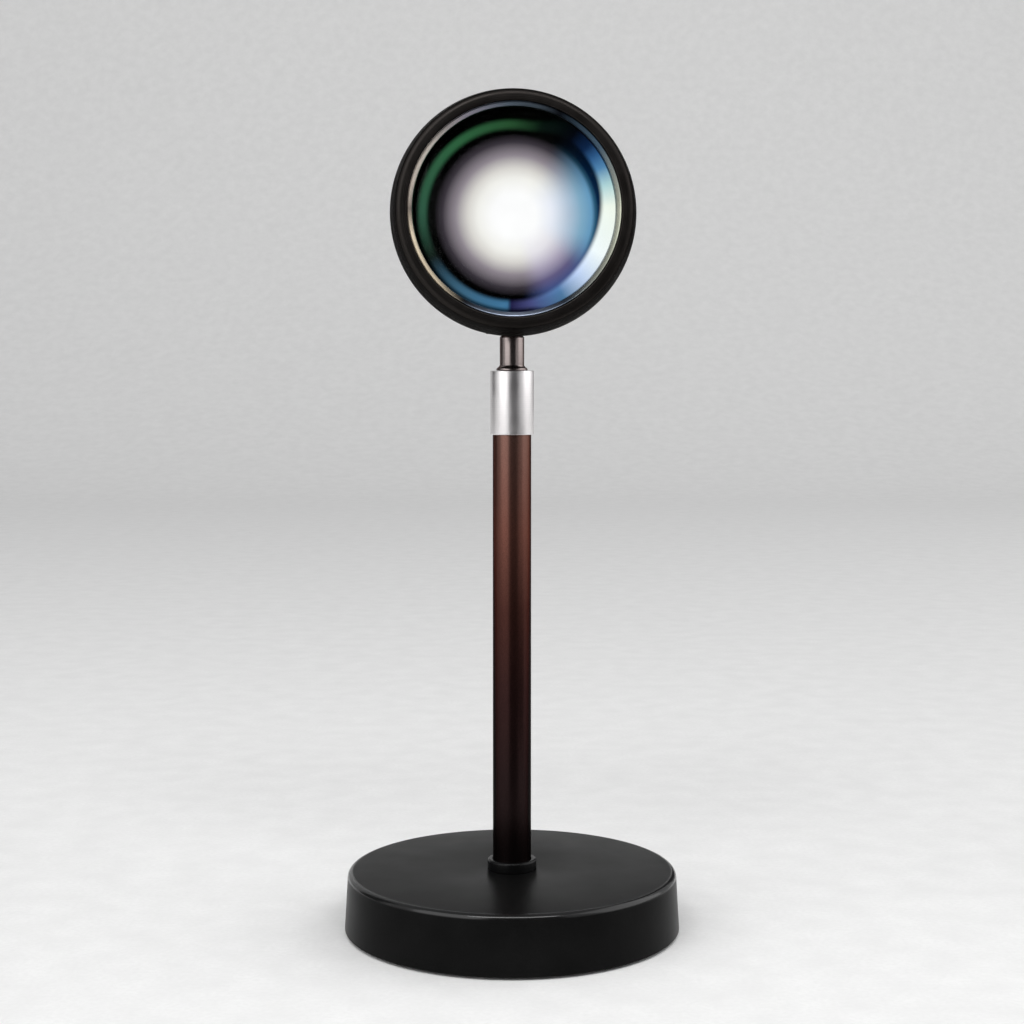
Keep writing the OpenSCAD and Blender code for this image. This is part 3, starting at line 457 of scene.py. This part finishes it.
# %% The ring's edges
ring_inner, ring_outer, crescent_outer = 0.668, 0.785, 0.9
low_inner, high_inner, softness = 0.652, 0.735, 0.05
rightness = add(tree, "ShaderNodeMapRange", {
    "Value": across.outputs["X"], "From Min": 0.1, "From Max": 0.5},
    interpolation_type="SMOOTHSTEP").outputs[0]
low_left = add(tree, "ShaderNodeVectorMath", {0: centred, 1: (0.012, 0, 0.022)}, operation="ADD")
reach = add(tree, "ShaderNodeVectorMath", {0: low_left.outputs[0]}, operation="LENGTH")
reach = reach.outputs["Value"]
crescent_inner = add(tree, "ShaderNodeMapRange", {
    "Value": across.outputs["Z"], "From Min": -0.45, "From Max": 0.45,
    "To Min": low_inner, "To Max": high_inner}, interpolation_type="SMOOTHSTEP")
outer_edge = add(tree, "ShaderNodeMapRange", {
    "Value": rightness, "To Min": ring_outer, "To Max": crescent_outer}).outputs[0]
inner_edge = add(tree, "ShaderNodeMapRange", {
    "Value": rightness, "To Min": ring_inner, "To Max": crescent_inner.outputs[0]}).outputs[0]
short_of_outer = add(tree, "ShaderNodeMath", {0: outer_edge, 1: reach}, operation="SUBTRACT")
past_inner = add(tree, "ShaderNodeMath", {0: reach, 1: inner_edge}, operation="SUBTRACT")
outer_step, inner_step = (add(tree, "ShaderNodeMapRange", {
    "Value": distance.outputs[0], "From Min": 0.0, "From Max": softness},
    interpolation_type="SMOOTHSTEP").outputs[0] for distance in (short_of_outer, past_inner))
# The painted reflections show only between the ring's two edges.
painted_reflection_mask = add(tree, "ShaderNodeMath", {0: outer_step, 1: inner_step}, operation="MULTIPLY")
painted_reflection_ring = add(tree, "ShaderNodeMix", {
    "Factor": painted_reflection_mask.outputs[0], "A": paint("#000000"), "B": painted_reflection_colour.outputs["Color"]},
    data_type="RGBA")
print("ring from", ring_inner, "to", ring_outer, "and at the right to", crescent_outer)

# %% [markdown]
# Glow and ring are added as light is, and a faint cloudiness keeps the coating from looking like a
# print. The coating itself hardly reflects: what the eye sees is the lamp's glow and the ring's
# painted reflections, both given off as light.

# %% Light from the coating
# The lamp's glow and the painted reflections are given off together as light.
glow_and_painted_reflection = add(tree, "ShaderNodeMix", {
    "Factor": 1.0, "A": painted_reflection_ring.outputs["Result"], "B": glow.outputs["Result"]},
    data_type="RGBA", blend_type="ADD")
ripple = add(tree, "ShaderNodeTexNoise", {"Vector": centred, "Scale": 5.0, "Detail": 2.0})
cloudy = add(tree, "ShaderNodeMapRange", {
    "Value": ripple.outputs["Fac"], "From Min": 0.3, "From Max": 0.7,
    "To Min": 0.98, "To Max": 1.02})
clouded_glow_and_reflection = add(tree, "ShaderNodeMix", {
    "Factor": 1.0, "A": glow_and_painted_reflection.outputs["Result"], "B": cloudy.outputs[0]},
    data_type="RGBA", blend_type="MULTIPLY")
join(tree, surface, {"Base Color": paint("#020303"), "Roughness": 0.4, "Specular IOR Level": 0.05,
                     "Emission Color": clouded_glow_and_reflection.outputs["Result"], "Emission Strength": 1.0})
print("coating nodes:", len(tree.nodes))

# %% [markdown]
# The lip of the lens ring is cut bright, and dulled a little by handling. Its colour carries
# painted
# highlight and shade: seen as a clock's face it is painted brightest at ten, and dark at one, five
# and seven. That is one more ramp, laid round the axis by the same helper.

# %% Bright lip
scratch_mm = 0.5
bright_lip, tree, surface, place = new_finish("bright_cut_aluminium")
centred = add(tree, "ShaderNodeMapping", {"Vector": place, "Location": (0, 0, -head_z * MM)})
across = add(tree, "ShaderNodeSeparateXYZ", {"Vector": centred.outputs[0]})
# Painted highlight and shade on the lip, laid round the lens axis by angle.
painted_lip_highlight_and_shade = add(tree, "ShaderNodeValToRGB", {"Fac": turn_about_lens(tree, across)}, stops=[
    (0.0, "#6f665f"), (1.0, "#6f665f"), (0.04, "#c6b9a1"), (0.12, "#b0a38d"), (0.17, "#1d2025"),
    (0.25, "#98a3b6"), (0.33, "#303842"), (0.41, "#76786f"), (0.5, "#bcbfac"), (0.6, "#475b6c"),
    (0.68, "#0c0e12"), (0.76, "#626f7c"), (0.83, "#96919d"), (0.9, "#f4eadd"), (0.96, "#d2c5b8")])
scratches = add(tree, "ShaderNodeTexNoise", {
    "Vector": place, "Scale": 1 / (scratch_mm * MM), "Detail": 2.0})
polish = add(tree, "ShaderNodeMapRange", {
    "Value": scratches.outputs["Fac"], "To Min": 0.24, "To Max": 0.38})
join(tree, surface, {"Base Color": painted_lip_highlight_and_shade.outputs["Color"], "Metallic": 1.0,
                     "Roughness": polish.outputs[0]})
print("finish:", bright_lip.name)

# %% [markdown]
# ## Turning a piece
#
# Most of the lamp is turned on a lathe, so most pieces are made the same way: the outline of half
# the section, with its corners rounded to the radius that the real corner has, is spun about the
# axis. Points are (radius, place along the axis, corner radius) in millimetres. The outline closes
# on itself, or starts and ends on the axis where the piece is solid.

# %% Spin an outline
merge_within = 0.0005 * MM


def turned(outline, steps=160):
    """Spin an outline, given in mm, about the upright axis."""
    bm = bmesh.new()
    points = [bm.verts.new((point[0] * MM, 0, point[1] * MM)) for point in outline]
    for a, b in zip(points, points[1:]):
        bm.edges.new((a, b))
    if outline[0][0] > 0 or outline[-1][0] > 0:
        bm.edges.new((points[-1], points[0]))
    for vert, point in zip(points, outline):
        if len(point) > 2:
            bmesh.ops.bevel(bm, geom=[vert], affect="VERTICES", offset=point[2] * MM, segments=5,
                            profile=0.5, material=-1)
    bmesh.ops.spin(bm, geom=bm.verts[:] + bm.edges[:], axis=(0, 0, 1), cent=(0, 0, 0),
                   dvec=(0, 0, 0), angle=tau, steps=steps, use_merge=True)
    bmesh.ops.remove_doubles(bm, verts=bm.verts, dist=merge_within)
    bmesh.ops.dissolve_degenerate(bm, edges=bm.edges, dist=merge_within)
    bmesh.ops.recalc_face_normals(bm, faces=bm.faces)
    return bm


def moved(bm, x, y, z):
    """Move a shape, in mm."""
    bmesh.ops.translate(bm, verts=bm.verts, vec=(x * MM, y * MM, z * MM))
    return bm


def swung(bm, degrees, axis):
    """Turn a shape about an axis through the origin."""
    bmesh.ops.rotate(bm, verts=bm.verts, cent=(0, 0, 0),
                     matrix=Matrix.Rotation(radians(degrees), 3, axis))
    return bm


def face_forward(bm):
    """Lay a turned piece along the head's axis: what was up points to the front of the lamp."""
    return moved(swung(bm, 90, "X"), 0, 0, head_z)


def face_back(bm, z):
    """What was up points to the back of the lamp."""
    return moved(swung(bm, -90, "X"), 0, 0, z)


print("in 256 steps, a circle of 50 mm is out of round by",
      round(50 * (1 - cos(tau / 512)), 4), "mm")

# %% [markdown]
# A finished mesh becomes an object that sits at the origin, like the CAD nodes, with its place in
# its mesh. It is shaded smooth apart from its sharp edges, rides on its body, takes the finish it
# is given, and hides the CAD node that it stands for.

# %% Turn a mesh into a piece of the lamp


def as_object(bm, name):
    """Write a shape into a mesh of its own, on a new object in the scene."""
    made = bpy.data.objects.new(name, bpy.data.meshes.new(name))
    bm.to_mesh(made.data)
    bm.free()
    bpy.context.collection.objects.link(made)
    return made


def piece(bm, name, body, slot, finish, *nodes):
    """Make a mesh into a finished piece, on its body, in the place of its nodes. The slot is not
    used.
    """
    made = as_object(bm, name)
    mesh = made.data
    mesh.polygons.foreach_set("use_smooth", [True] * len(mesh.polygons))
    mesh.set_sharp_from_angle(angle=radians(32))
    mesh.materials.append(finish)
    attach(made, body)
    if nodes:
        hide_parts(*nodes)
    low, high = ([round(end(v.co[i] for v in mesh.vertices) / MM, 2) for i in range(3)]
                 for end in (min, max))
    print(name, low, high, "faces", len(mesh.polygons))


print("piece:", piece.__doc__)

# %% [markdown]
# Holes and joined shapes are cut and welded as solids. The tool is a mesh of its own, used once by
# a Boolean modifier whose result is written back into the mesh.

# %% Cut or weld one solid with another


def worked(bm, tool, operation):
    """Cut a tool's shape out of a solid, or weld it on."""
    work, cutter = as_object(bm, "work"), as_object(tool, "tool")
    boolean = work.modifiers.new("boolean", "BOOLEAN")
    boolean.object, boolean.operation, boolean.solver = cutter, operation, "EXACT"
    result = bmesh.new()
    result.from_object(work, bpy.context.evaluated_depsgraph_get())
    for used in (work, cutter):
        mesh = used.data
        bpy.data.objects.remove(used)
        bpy.data.meshes.remove(mesh)
    bmesh.ops.remove_doubles(result, verts=result.verts, dist=merge_within)
    return result


def rod(radius, length, sides=64):
    """A plain round or hexagonal tool, standing on the origin."""
    bm = bmesh.new()
    bmesh.ops.create_cone(bm, cap_ends=True, segments=sides, radius1=radius * MM,
                          radius2=radius * MM, depth=length * MM)
    return moved(bm, 0, 0, length / 2)


print("worked:", worked.__doc__)

# %% [markdown]
# ## The base
#
# The cover is one pressing: a flat top, a straight side with a touch of draft and a rounded rim
# that catches a thin line of light. Its lower edge is rolled and stands just clear of the table,
# on a foam pad. At the back the rubber inlet for the cord sits in a round hole. All is turned but
# the hole, which goes through the side and is cut afterwards.

# %% Cover, pad and inlet
clearance = 0.05
cover_r, shoulder_r, cover_low, cover_ceiling, tube_hole_r = 50.0, 49.0, 0.8, 16.4, 4.1
inside_low_r, inside_high_r, inlet_hole_r = 48.4, 47.4, 3.05
inlet_z = middle("cord_grommet")
inlet_front, inlet_back = (corner.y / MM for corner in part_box("cord_grommet"))
inlet_length = inlet_back - inlet_front
cover = turned([(cover_r, cover_low, 0.35), (shoulder_r, base_top, 1.5),
                (tube_hole_r, base_top, 0.2), (tube_hole_r, cover_ceiling),
                (inside_high_r, cover_ceiling, 0.7), (inside_low_r, cover_low, 0.35)], steps=256)
drill = moved(face_back(rod(inlet_hole_r, 20), inlet_z), 0, 40, 0)
piece(worked(cover, drill, "DIFFERENCE"), "cover", "base", "powder_coat", powder_coat,
      "base_cover")
pad_r, pad_t = 46.2, 2.0
piece(turned([(0, 0), (pad_r, 0, 0.5), (pad_r, pad_t, 0.2), (0, pad_t)], steps=192), "pad",
      "base", "foot_foam", foot_foam, "foot_pad")
cord_r, waist_r, flange_r, flange_t = 1.7, 3.0, 4.2, 1.0
inlet = turned([(cord_r, 0, 0.3), (flange_r, 0, 0.35), (flange_r, flange_t, 0.3),
                (waist_r, flange_t), (waist_r, inlet_length - flange_t),
                (flange_r, inlet_length - flange_t, 0.3), (flange_r, inlet_length, 0.45),
                (cord_r, inlet_length, 0.35)], steps=64)
piece(moved(face_back(inlet, inlet_z), 0, inlet_front, 0), "inlet_grommet", "base",
      "black_rubber", black_rubber, "cord_grommet")

# %% [markdown]
# ## The post and its collar
#
# The post is a plain tube. At its foot a low turned collar hides the hole in the cover, and its
# rounded rim shows as a bright hairline at the right. The rim is rounded in the outline, before
# the spin, which is surer than a bevel after it.

# %% Post and collar
screw_z, screw_hole_r = middle("stop_screw"), 1.05
post_low, post_r, post_bore_r = base_top + clearance, 5.7, 4.7
tube = turned([(post_r, post_low, 0.1), (post_r, post_top, 0.15), (post_bore_r, post_top, 0.1),
               (post_bore_r, post_low)], steps=160)
drill = face_back(rod(screw_hole_r, 8), screw_z)
piece(worked(tube, drill, "DIFFERENCE"), "post", "base", "satin_paint", satin_paint, "post_tube")
collar_r, collar_bore_r, collar_top = 7.3, 5.76, base_top + 3.2
piece(turned([(collar_r, post_low, 0.15), (collar_r, collar_top, 0.7),
              (collar_bore_r, collar_top, 0.25), (collar_bore_r, post_low)], steps=128),
      "collar", "base", "gloss_paint", gloss_paint, "post_collar")

# %% [markdown]
# ## The sleeve and the neck
#
# The nickel sleeve is a straight cylinder with a fine chamfer at each end, held by a set screw at
# the back. One outline holds its outside and its bore, so both stay true to each other.

# %% Sleeve
chamfer, mouth_depth = 0.3, 3.6
sleeve_r, on_post_r, on_bush_r, mouth_r = 6.45, 5.75, 5.05, 3.8
post_stop = post_top + clearance
sleeve = turned([(on_post_r, ferrule_bottom, 0.05), (sleeve_r, ferrule_bottom, chamfer),
                 (sleeve_r, ferrule_top, chamfer), (mouth_r, ferrule_top, 0.2),
                 (mouth_r, ferrule_top - mouth_depth), (on_bush_r, ferrule_top - mouth_depth),
                 (on_bush_r, post_stop), (on_post_r, post_stop)], steps=160)
drill = face_back(rod(screw_hole_r, 8), screw_z)
piece(worked(sleeve, drill, "DIFFERENCE"), "sleeve", "base", "satin_nickel", satin_nickel,
      "ferrule")

# %% [markdown]
# The chromed neck turns in the sleeve, on a small flange with a hollow foot. The hollow is a single
# corner of the outline with a large radius, which is simpler than an arc of points.

# %% Neck
stem_low, stem_top = height("stem", 0), height("stem", 1)
flange_z, retainer_top = ferrule_top + clearance, height("stem_retainer", 1)
neck_r, tail_r, neck_bore_r, wire_r, foot_r, hollow_r = 3.6, 2.9, 2.5, 1.6, 4.6, 3.95
bore_floor = retainer_top + 2.5
neck = turned([(wire_r, stem_low), (tail_r, stem_low), (tail_r, retainer_top),
               (neck_r, retainer_top), (neck_r, flange_z), (foot_r, flange_z, 0.12),
               (foot_r, flange_z + 0.6, 0.25), (hollow_r, flange_z + 0.95, 0.5),
               (neck_r, flange_z + 1.5), (neck_r, stem_top, 0.15), (neck_bore_r, stem_top),
               (neck_bore_r, bore_floor), (wire_r, bore_floor)], steps=128)
piece(neck, "neck", "stem", "chrome_plate", chrome_plate, "stem")

# %% [markdown]
# ## The tilting joint
#
# On the neck sits a small barrel, across the lamp, between the two ears of the head. It is turned,
# laid on its side and welded to a turned spigot that fits into the neck. The way for the wires and
# the holes for the screws are bored last, so they run clean through both.

# %% Knuckle


def lie_across(bm, x, turn=90):
    """Lay a turned piece along the tilt axis, starting at x."""
    return moved(swung(bm, turn, "Y"), x, 0, tilt_z)


barrel_r, barrel_half, spigot_r, throat_r = 4.6, 4.0, 2.45, 3.0
passage_r, axle_hole_r = 1.3, 1.55
spigot_low, spigot_step = stem_top - 6, stem_top + clearance
barrel = lie_across(turned([(0, -barrel_half), (barrel_r, -barrel_half, 0.4),
                            (barrel_r, barrel_half, 0.4), (0, barrel_half)], steps=96), 0)
spigot = turned([(0, spigot_low), (spigot_r, spigot_low, 0.2), (spigot_r, spigot_step),
                 (neck_r, spigot_step), (throat_r, stem_top + 0.65, 0.2), (throat_r, tilt_z),
                 (0, tilt_z)], steps=96)
knuckle = worked(barrel, spigot, "UNION")
knuckle = worked(knuckle, moved(rod(passage_r, 20), 0, 0, stem_top - 7), "DIFFERENCE")
for side in (1, -1):
    axle_hole = lie_across(rod(axle_hole_r, 5), side * 1.5, 90 * side)
    knuckle = worked(knuckle, axle_hole, "DIFFERENCE")
piece(knuckle, "knuckle_barrel", "stem", "chrome_plate", chrome_plate, "knuckle")

# %% [markdown]
# Shoulder screws go through the ears into the barrel from both sides, and fibre washers give the
# joint its drag. Each screw is turned and gets a six-sided socket. Both are one mesh, as both are
# one CAD node.

# %% Pivot screws
axle_r, in_ear_r, screw_head_r, screw_face_r, hexagon_r = 1.5, 2.0, 3.0, 2.16, 1.3
tip_x, ear_inside, ear_outside, screw_end, hexagon_floor = 1.8, 4.5, 7.75, 9.25, 8.25
screws = bmesh.new()
for side in (1, -1):
    screw = turned([(0, tip_x), (axle_r, tip_x, 0.3), (axle_r, ear_inside),
                    (in_ear_r, ear_inside), (in_ear_r, ear_outside),
                    (screw_head_r, ear_outside, 0.1), (screw_face_r, screw_end, 0.5),
                    (0, screw_end)], steps=64)
    screw = worked(screw, moved(rod(hexagon_r, 2, 6), 0, 0, hexagon_floor), "DIFFERENCE")
    mesh = bpy.data.meshes.new("one_screw")
    lie_across(screw, 0, 90 * side).to_mesh(mesh)
    screws.from_mesh(mesh)
    screw.free()
    bpy.data.meshes.remove(mesh)
piece(screws, "shoulder_screws", "head", "dark_steel", dark_steel, "pivot_screws")

# %% [markdown]
# ## The head's body
#
# Behind the bezel the body steps down through a short cone to a plain cylinder with two ears under
# it. A trench between the ears gives the knuckle room to pass when the head tilts. The round parts
# are turned, the ears welded on, and the trench and the screws' hole cut last.

# %% Body with ears
body_r, bore_r, cone_r, nose_r, nose_bore_r, wall_r = 27.0, 24.5, 32.6, 31.0, 29.4, 24.6
body_back, wall_back, wall_front = -13.0, -10.0, -6.0
cone_back, cone_front, cone_end, nose_floor, nose_front = 7.95, 12.95, 13.95, 17.5, 24.0
body = turned([(bore_r, body_back, 0.2), (body_r, body_back, 0.3), (body_r, cone_back),
               (cone_r, cone_front, 0.2), (cone_r, cone_end, 0.2), (nose_r, cone_end),
               (nose_r, nose_front), (nose_bore_r, nose_front), (nose_bore_r, nose_floor),
               (bore_r, nose_floor), (bore_r, wall_front), (bore_r, wall_back)], steps=160)
wall = turned([(0, wall_back), (wall_r, wall_back), (wall_r, wall_front), (0, wall_front)],
              steps=96)
body = worked(face_forward(body), face_forward(wall), "UNION")
ear_r, ear_t, ear_start, ear_reach = 5.2, 3.2, 4.5, 5.6
for side in (1, -1):
    block = bmesh.new()
    bmesh.ops.create_cube(block, size=1.0)
    bmesh.ops.scale(block, verts=block.verts, vec=(ear_reach * MM, 2 * ear_r * MM, ear_t * MM))
    block = moved(block, -ear_reach / 2 * side, 0, ear_t / 2)
    ear = worked(rod(ear_r, ear_t, 96), block, "UNION")
    body = worked(body, lie_across(ear, ear_start * side, 90 * side), "UNION")
trench_r, pivot_hole_r = 5.0, 2.05
body = worked(body, lie_across(rod(trench_r, 2 * ear_start, 96), -ear_start), "DIFFERENCE")
body = worked(body, lie_across(rod(pivot_hole_r, 30, 48), -15), "DIFFERENCE")
piece(body, "body_shell", "head", "black_anodised", black_anodised, "housing")

# %% [markdown]
# ## The bezel and the lens ring
#
# The bezel is a deep black ring that flares a little to the back. Inside it the gloss lens ring
# slopes in to the glass. Its polished lip, with painted highlight and shade in its colour, is the
# thin bright line inside the bezel. It is a piece of its own here, because it has a finish of its
# own.

# %% Bezel and lens ring
opening_r, face_r, seat_r, seat_y, face_y, back_y = 30.2, 33.3, 31.05, 25.2, 28.0, 14.0
bezel = turned([(opening_r, seat_y), (opening_r, face_y, 0.35), (face_r, face_y, 1.4),
                (head_r, back_y, 0.8), (seat_r, back_y, 0.1), (seat_r, seat_y)], steps=256)
piece(face_forward(bezel), "bezel_ring", "head", "black_anodised", black_anodised, "bezel")
ring_r, step_r, slope_back_r, slope_front_r = 30.15, 30.95, 28.55, 28.8
ring_back, slope_back, ring_step, ring_front = 24.05, 24.5, 25.15, 26.1
ring = turned([(slope_back_r, ring_back), (step_r, ring_back), (step_r, ring_step),
               (ring_r, ring_step), (ring_r, ring_front), (slope_front_r, ring_front, 0.05),
               (slope_back_r, slope_back, 0.1)], steps=256)
piece(face_forward(ring), "lens_retaining_ring", "head", "gloss_anodised", gloss_anodised,
      "lens_ring")
lip_r, crest_r, lip_back, lip_low, lip_front = 28.75, 29.8, 26.12, 26.5, 27.5
lip = turned([(lip_r, lip_back), (ring_r, lip_back), (ring_r, lip_front, 0.12),
              (crest_r, lip_front, 0.2), (lip_r, lip_low, 0.12)], steps=256)
piece(face_forward(lip), "bright_lip", "head", "satin_nickel", bright_lip)

# %% [markdown]
# ## The lens
#
# The lens is a thick plano-convex glass. It is made in two: the clear body with its domed front,
# and the coated flat back just behind it, so the coating is seen through real glass and shifts a
# little as the eye moves.

# %% Dome and coating
lens_rim, glass_rise, dome_y, arcs = 28.4, 3.0, 27.0, 24
dome_r = (lens_rim ** 2 + glass_rise ** 2) / (2 * glass_rise)
half_angle = asin(lens_rim / dome_r)
dome = [(dome_r * sin(half_angle * i / arcs), dome_y - dome_r + dome_r * cos(half_angle * i / arcs))
        for i in range(arcs, -1, -1)]
edge_r, glass_back, edge_front = 29.2, 20.5, 24.0
lens = turned([(0, glass_back), (edge_r, glass_back, 0.2), (edge_r, edge_front, 0.2)] + dome,
              steps=192)
piece(face_forward(lens), "lens_glass", "head", "clear_glass", bloomed_glass)
film_back, film_front = 20.05, 20.45
coating = turned([(0, film_back), (edge_r, film_back, 0.1), (edge_r, film_front, 0.1),
                  (0, film_front)], steps=192)
piece(face_forward(coating), "lens_coating", "head", "coated_glass", coated_glass, "lens")

# %% [markdown]
# ## The heat sink
#
# The back of the head is a finned plug that draws the heat out of the light engine. It is turned in
# one piece, so its whole section, fins and all, is one outline. A loop adds the equal fins to it.

# %% Fins
plug_r, core_r, shank_way_r, head_way_r = 24.45, 12.0, 2.3, 3.9
plug_front, rim_front, rim_back = -10.4, -13.05, -15.0
head_seat, last_gap, back, fin_pitch, fin_t = -24.0, -25.5, -27.0, 3.0, 1.5
fins = [(shank_way_r, plug_front), (plug_r, plug_front, 0.2), (plug_r, rim_front),
        (body_r, rim_front, 0.15), (body_r, rim_back, 0.25)]
for fin in range(1, 4):
    fin_front = rim_back - fin_pitch * fin + fin_t
    fins += [(core_r, fin_front + fin_t, 0.2), (core_r, fin_front, 0.2),
             (body_r, fin_front, 0.25), (body_r, fin_front - fin_t, 0.25)]
fins += [(core_r, head_seat, 0.2), (core_r, last_gap, 0.2), (body_r, last_gap, 0.2),
         (body_r, back, 0.6), (head_way_r, back, 0.3), (head_way_r, head_seat),
         (shank_way_r, head_seat)]
piece(face_forward(turned(fins, steps=160)), "finned_back", "head", "black_anodised",
      black_anodised, "heat_sink")

# %% [markdown]
# A cap screw holds the plug, sunk in its middle. Only its socket isn't round, so that is cut.

# %% Cap screw
shank_r, cap_r, shank_end, cap_back, cap_hexagon_r = 2.0, 3.5, -8.0, -26.4, 1.5
cap = turned([(0, shank_end), (shank_r, shank_end, 0.2), (shank_r, head_seat),
              (cap_r, head_seat, 0.15), (cap_r, cap_back, 0.5), (0, cap_back)], steps=64)
cap = worked(cap, moved(rod(cap_hexagon_r, 1.4, 6), 0, 0, -26.5), "DIFFERENCE")
piece(face_forward(cap), "cap_screw", "head", "dark_steel", dark_steel, "heat_sink_screw")

# %% [markdown]
# ## Finishes on the CAD solids that stay
#
# The inner solids and small trim keep their exact CAD shapes and only get their finish. They are
# hidden or tiny, so finer copies would add nothing but triangles.

# %% Dress the CAD nodes
kept = {
    grey_iron: ["ballast"],
    zinc_steel: ["base_plate", "plate_screws", "threaded_tube", "tube_nut", "lock_washer",
                 "post_plug", "stem_retainer", "led_screws"],
    tray_plastic: ["driver_tray"],
    circuit_board: ["driver_board"],
    terminal_plastic: ["terminal_block"],
    lead_sheath: ["post_lead", "stem_lead", "head_lead"],
    acetal: ["swivel_bush", "thrust_washer"],
    dark_steel: ["stop_screw", "filter_clip"],
    gloss_anodised: ["light_barrel"],
    black_rubber: ["lens_gasket"],
    filter_glass: ["filter_disc"],
    clear_glass: ["condenser_lens"],
    white_plastic: ["condenser_holder"],
    white_solder_mask: ["led_board"],
    thermal_silicone: ["thermal_pad"],
    led_phosphor: ["led_emitter"],
    fibre: ["pivot_washers"],
}
for finish, names in kept.items():
    for name in names:
        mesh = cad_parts[name].data
        mesh.materials.clear()
        mesh.materials.append(finish)
print("CAD nodes dressed:", sum(len(names) for names in kept.values()))

# %% [markdown]
# ## The studio
#
# A pale paper sweep runs from under the lamp up behind it, in a pale room. It is one sheet: a flat
# floor, far wider than the picture, whose back edge is drawn up into a wall, with the fold rounded.
# Sizes in the studio are in metres.

# %% Paper sweep
half_floor, widening, front_reach, far_back, wall_tall, fold_r = 3.0, 8, 6.0, 2.9, 3.0, 1.2
sweep = bmesh.new()
bmesh.ops.create_grid(sweep, x_segments=1, y_segments=1, size=half_floor)
bmesh.ops.scale(sweep, verts=sweep.verts, vec=(widening, 1, 1))
bmesh.ops.translate(sweep, verts=[v for v in sweep.verts if v.co.y < 0], vec=(0, -front_reach, 0))
back_edge = [e for e in sweep.edges if all(v.co.y > far_back for v in e.verts)]
raised = bmesh.ops.extrude_edge_only(sweep, edges=back_edge)["geom"]
bmesh.ops.translate(sweep, verts=[v for v in raised if isinstance(v, bmesh.types.BMVert)],
                    vec=(0, 0, wall_tall))
fold = [e for e in sweep.edges
        if all(v.co.y > far_back and abs(v.co.z) < 0.01 for v in e.verts)]
bmesh.ops.bevel(sweep, geom=fold, affect="EDGES", offset=fold_r, segments=24, profile=0.5,
                material=-1)
bmesh.ops.recalc_face_normals(sweep, faces=sweep.faces)
paper_sweep = as_object(sweep, "paper_sweep")
sweep_mesh = paper_sweep.data
sweep_mesh.polygons.foreach_set("use_smooth", [True] * len(sweep_mesh.polygons))
sweep_mesh.materials.append(grained("seamless_paper", "#e8e8e7", "#f0f0ef", 1.5, 10, 0.85))
print("paper sweep:", len(sweep_mesh.polygons), "faces")

# %% [markdown]
# A photographer who has to keep a black lamp black sets dark felt cards where it would otherwise
# mirror the room. Here one stands behind the camera and two lie on the floor in front of the lamp,
# for the dark core of the neck, the sleeve and the post. One at each side of the backdrop darkens
# their edges. The cards are hidden from the camera and throw no shade on the paper, so only the
# mirror-like parts of the lamp know of them.

# %% Felt cards
grey_felt = grained("dark_grey_felt", "#2c2c2d", "#38383a", 1.0, 60, 0.9)
cards = {
    # degrees to the right, distance near and far, width near and far, height near and far
    "front_card": (8, 2.3, 2.3, 2.3, 2.3, 0.01, 2.81),
    "floor_card": (8, 0.1, 2.3, 0.1, 2.3, 0.004, 0.01),
    "right_floor_card": (53, 0.2, 0.9, 0.14, 0.63, 0.004, 0.004),
    "left_card": (-114, 2.4, 2.4, 1.1, 1.1, 0.0, 2.2),
    "right_card": (156, 2.4, 2.4, 0.8, 0.8, 0.0, 2.2),
}
for name, (degrees_right, near, far, near_width, far_width, low, high) in cards.items():
    bm = bmesh.new()
    bmesh.ops.create_grid(bm, x_segments=1, y_segments=1, size=0.5)
    for vert in bm.verts:
        at_far = vert.co.y > 0
        vert.co = (vert.co.x * (far_width if at_far else near_width), -(far if at_far else near),
                   high if at_far else low)
    made = as_object(swung(bm, degrees_right, "Z"), name)
    made.data.materials.append(grey_felt)
    made.visible_camera = made.visible_diffuse = made.visible_shadow = False
print("cards:", list(cards))

# %% [markdown]
# The room is plain and pale, a little darker overhead. Its soft light comes from all sides and
# fills what the softboxes leave dark.

# %% The room
world = bpy.data.worlds.new("room")
bpy.context.scene.world = world
world.use_nodes = True
room = world.node_tree
look = add(room, "ShaderNodeTexCoord").outputs["Generated"]
overhead = add(room, "ShaderNodeSeparateXYZ", {"Vector": look}).outputs["Z"]
ceiling = add(room, "ShaderNodeMapRange", {
    "Value": overhead, "From Min": 0.5, "From Max": 0.85}, interpolation_type="SMOOTHSTEP")
shade = add(room, "ShaderNodeMix", {
    "Factor": ceiling.outputs[0], "A": paint("#cdcdce"), "B": paint("#a6a6a8")}, data_type="RGBA")
join(room, room.nodes["Background"], {"Color": shade.outputs["Result"], "Strength": 1.0})
print("room nodes:", len(room.nodes))

# %% [markdown]
# Two tall softboxes draw the long streaks on the post, the sleeve and the neck, and a small one
# above the camera the thin line on the base's rim. Each is set by how bright its face is, so its
# power is that brightness times its area and pi.

# %% The softboxes
aim = Vector((0, 0, 0.14))
softboxes = {
    # degrees to the right, distance, width, height, middle above the floor, brightness
    "left_softbox": (-48, 2.0, 2.1, 2.45, 1.24, 1.42),
    "right_softbox": (92, 2.0, 2.75, 2.45, 1.24, 1.08),
    "top_softbox": (0, 0.62, 0.9, 0.24, 0.85, 6.5),
}
for name, (degrees_right, distance, width, tall, z, brightness) in softboxes.items():
    lamp = bpy.data.lights.new(name, "AREA")
    lamp.shape, lamp.size, lamp.size_y = "RECTANGLE", width, tall
    lamp.energy = brightness * width * tall * tau / 2
    holder = bpy.data.objects.new(name, lamp)
    holder.visible_camera = False
    bpy.context.collection.objects.link(holder)
    angle = radians(degrees_right)
    holder.location = (sin(angle) * distance, -cos(angle) * distance, z)
    holder.rotation_mode = "QUATERNION"
    holder.rotation_quaternion = (holder.location - aim).to_track_quat("Z", "Y")
    print(name, "at", [round(c, 2) for c in holder.location], "power", round(lamp.energy, 2))

# %% [markdown]
# ## Finish
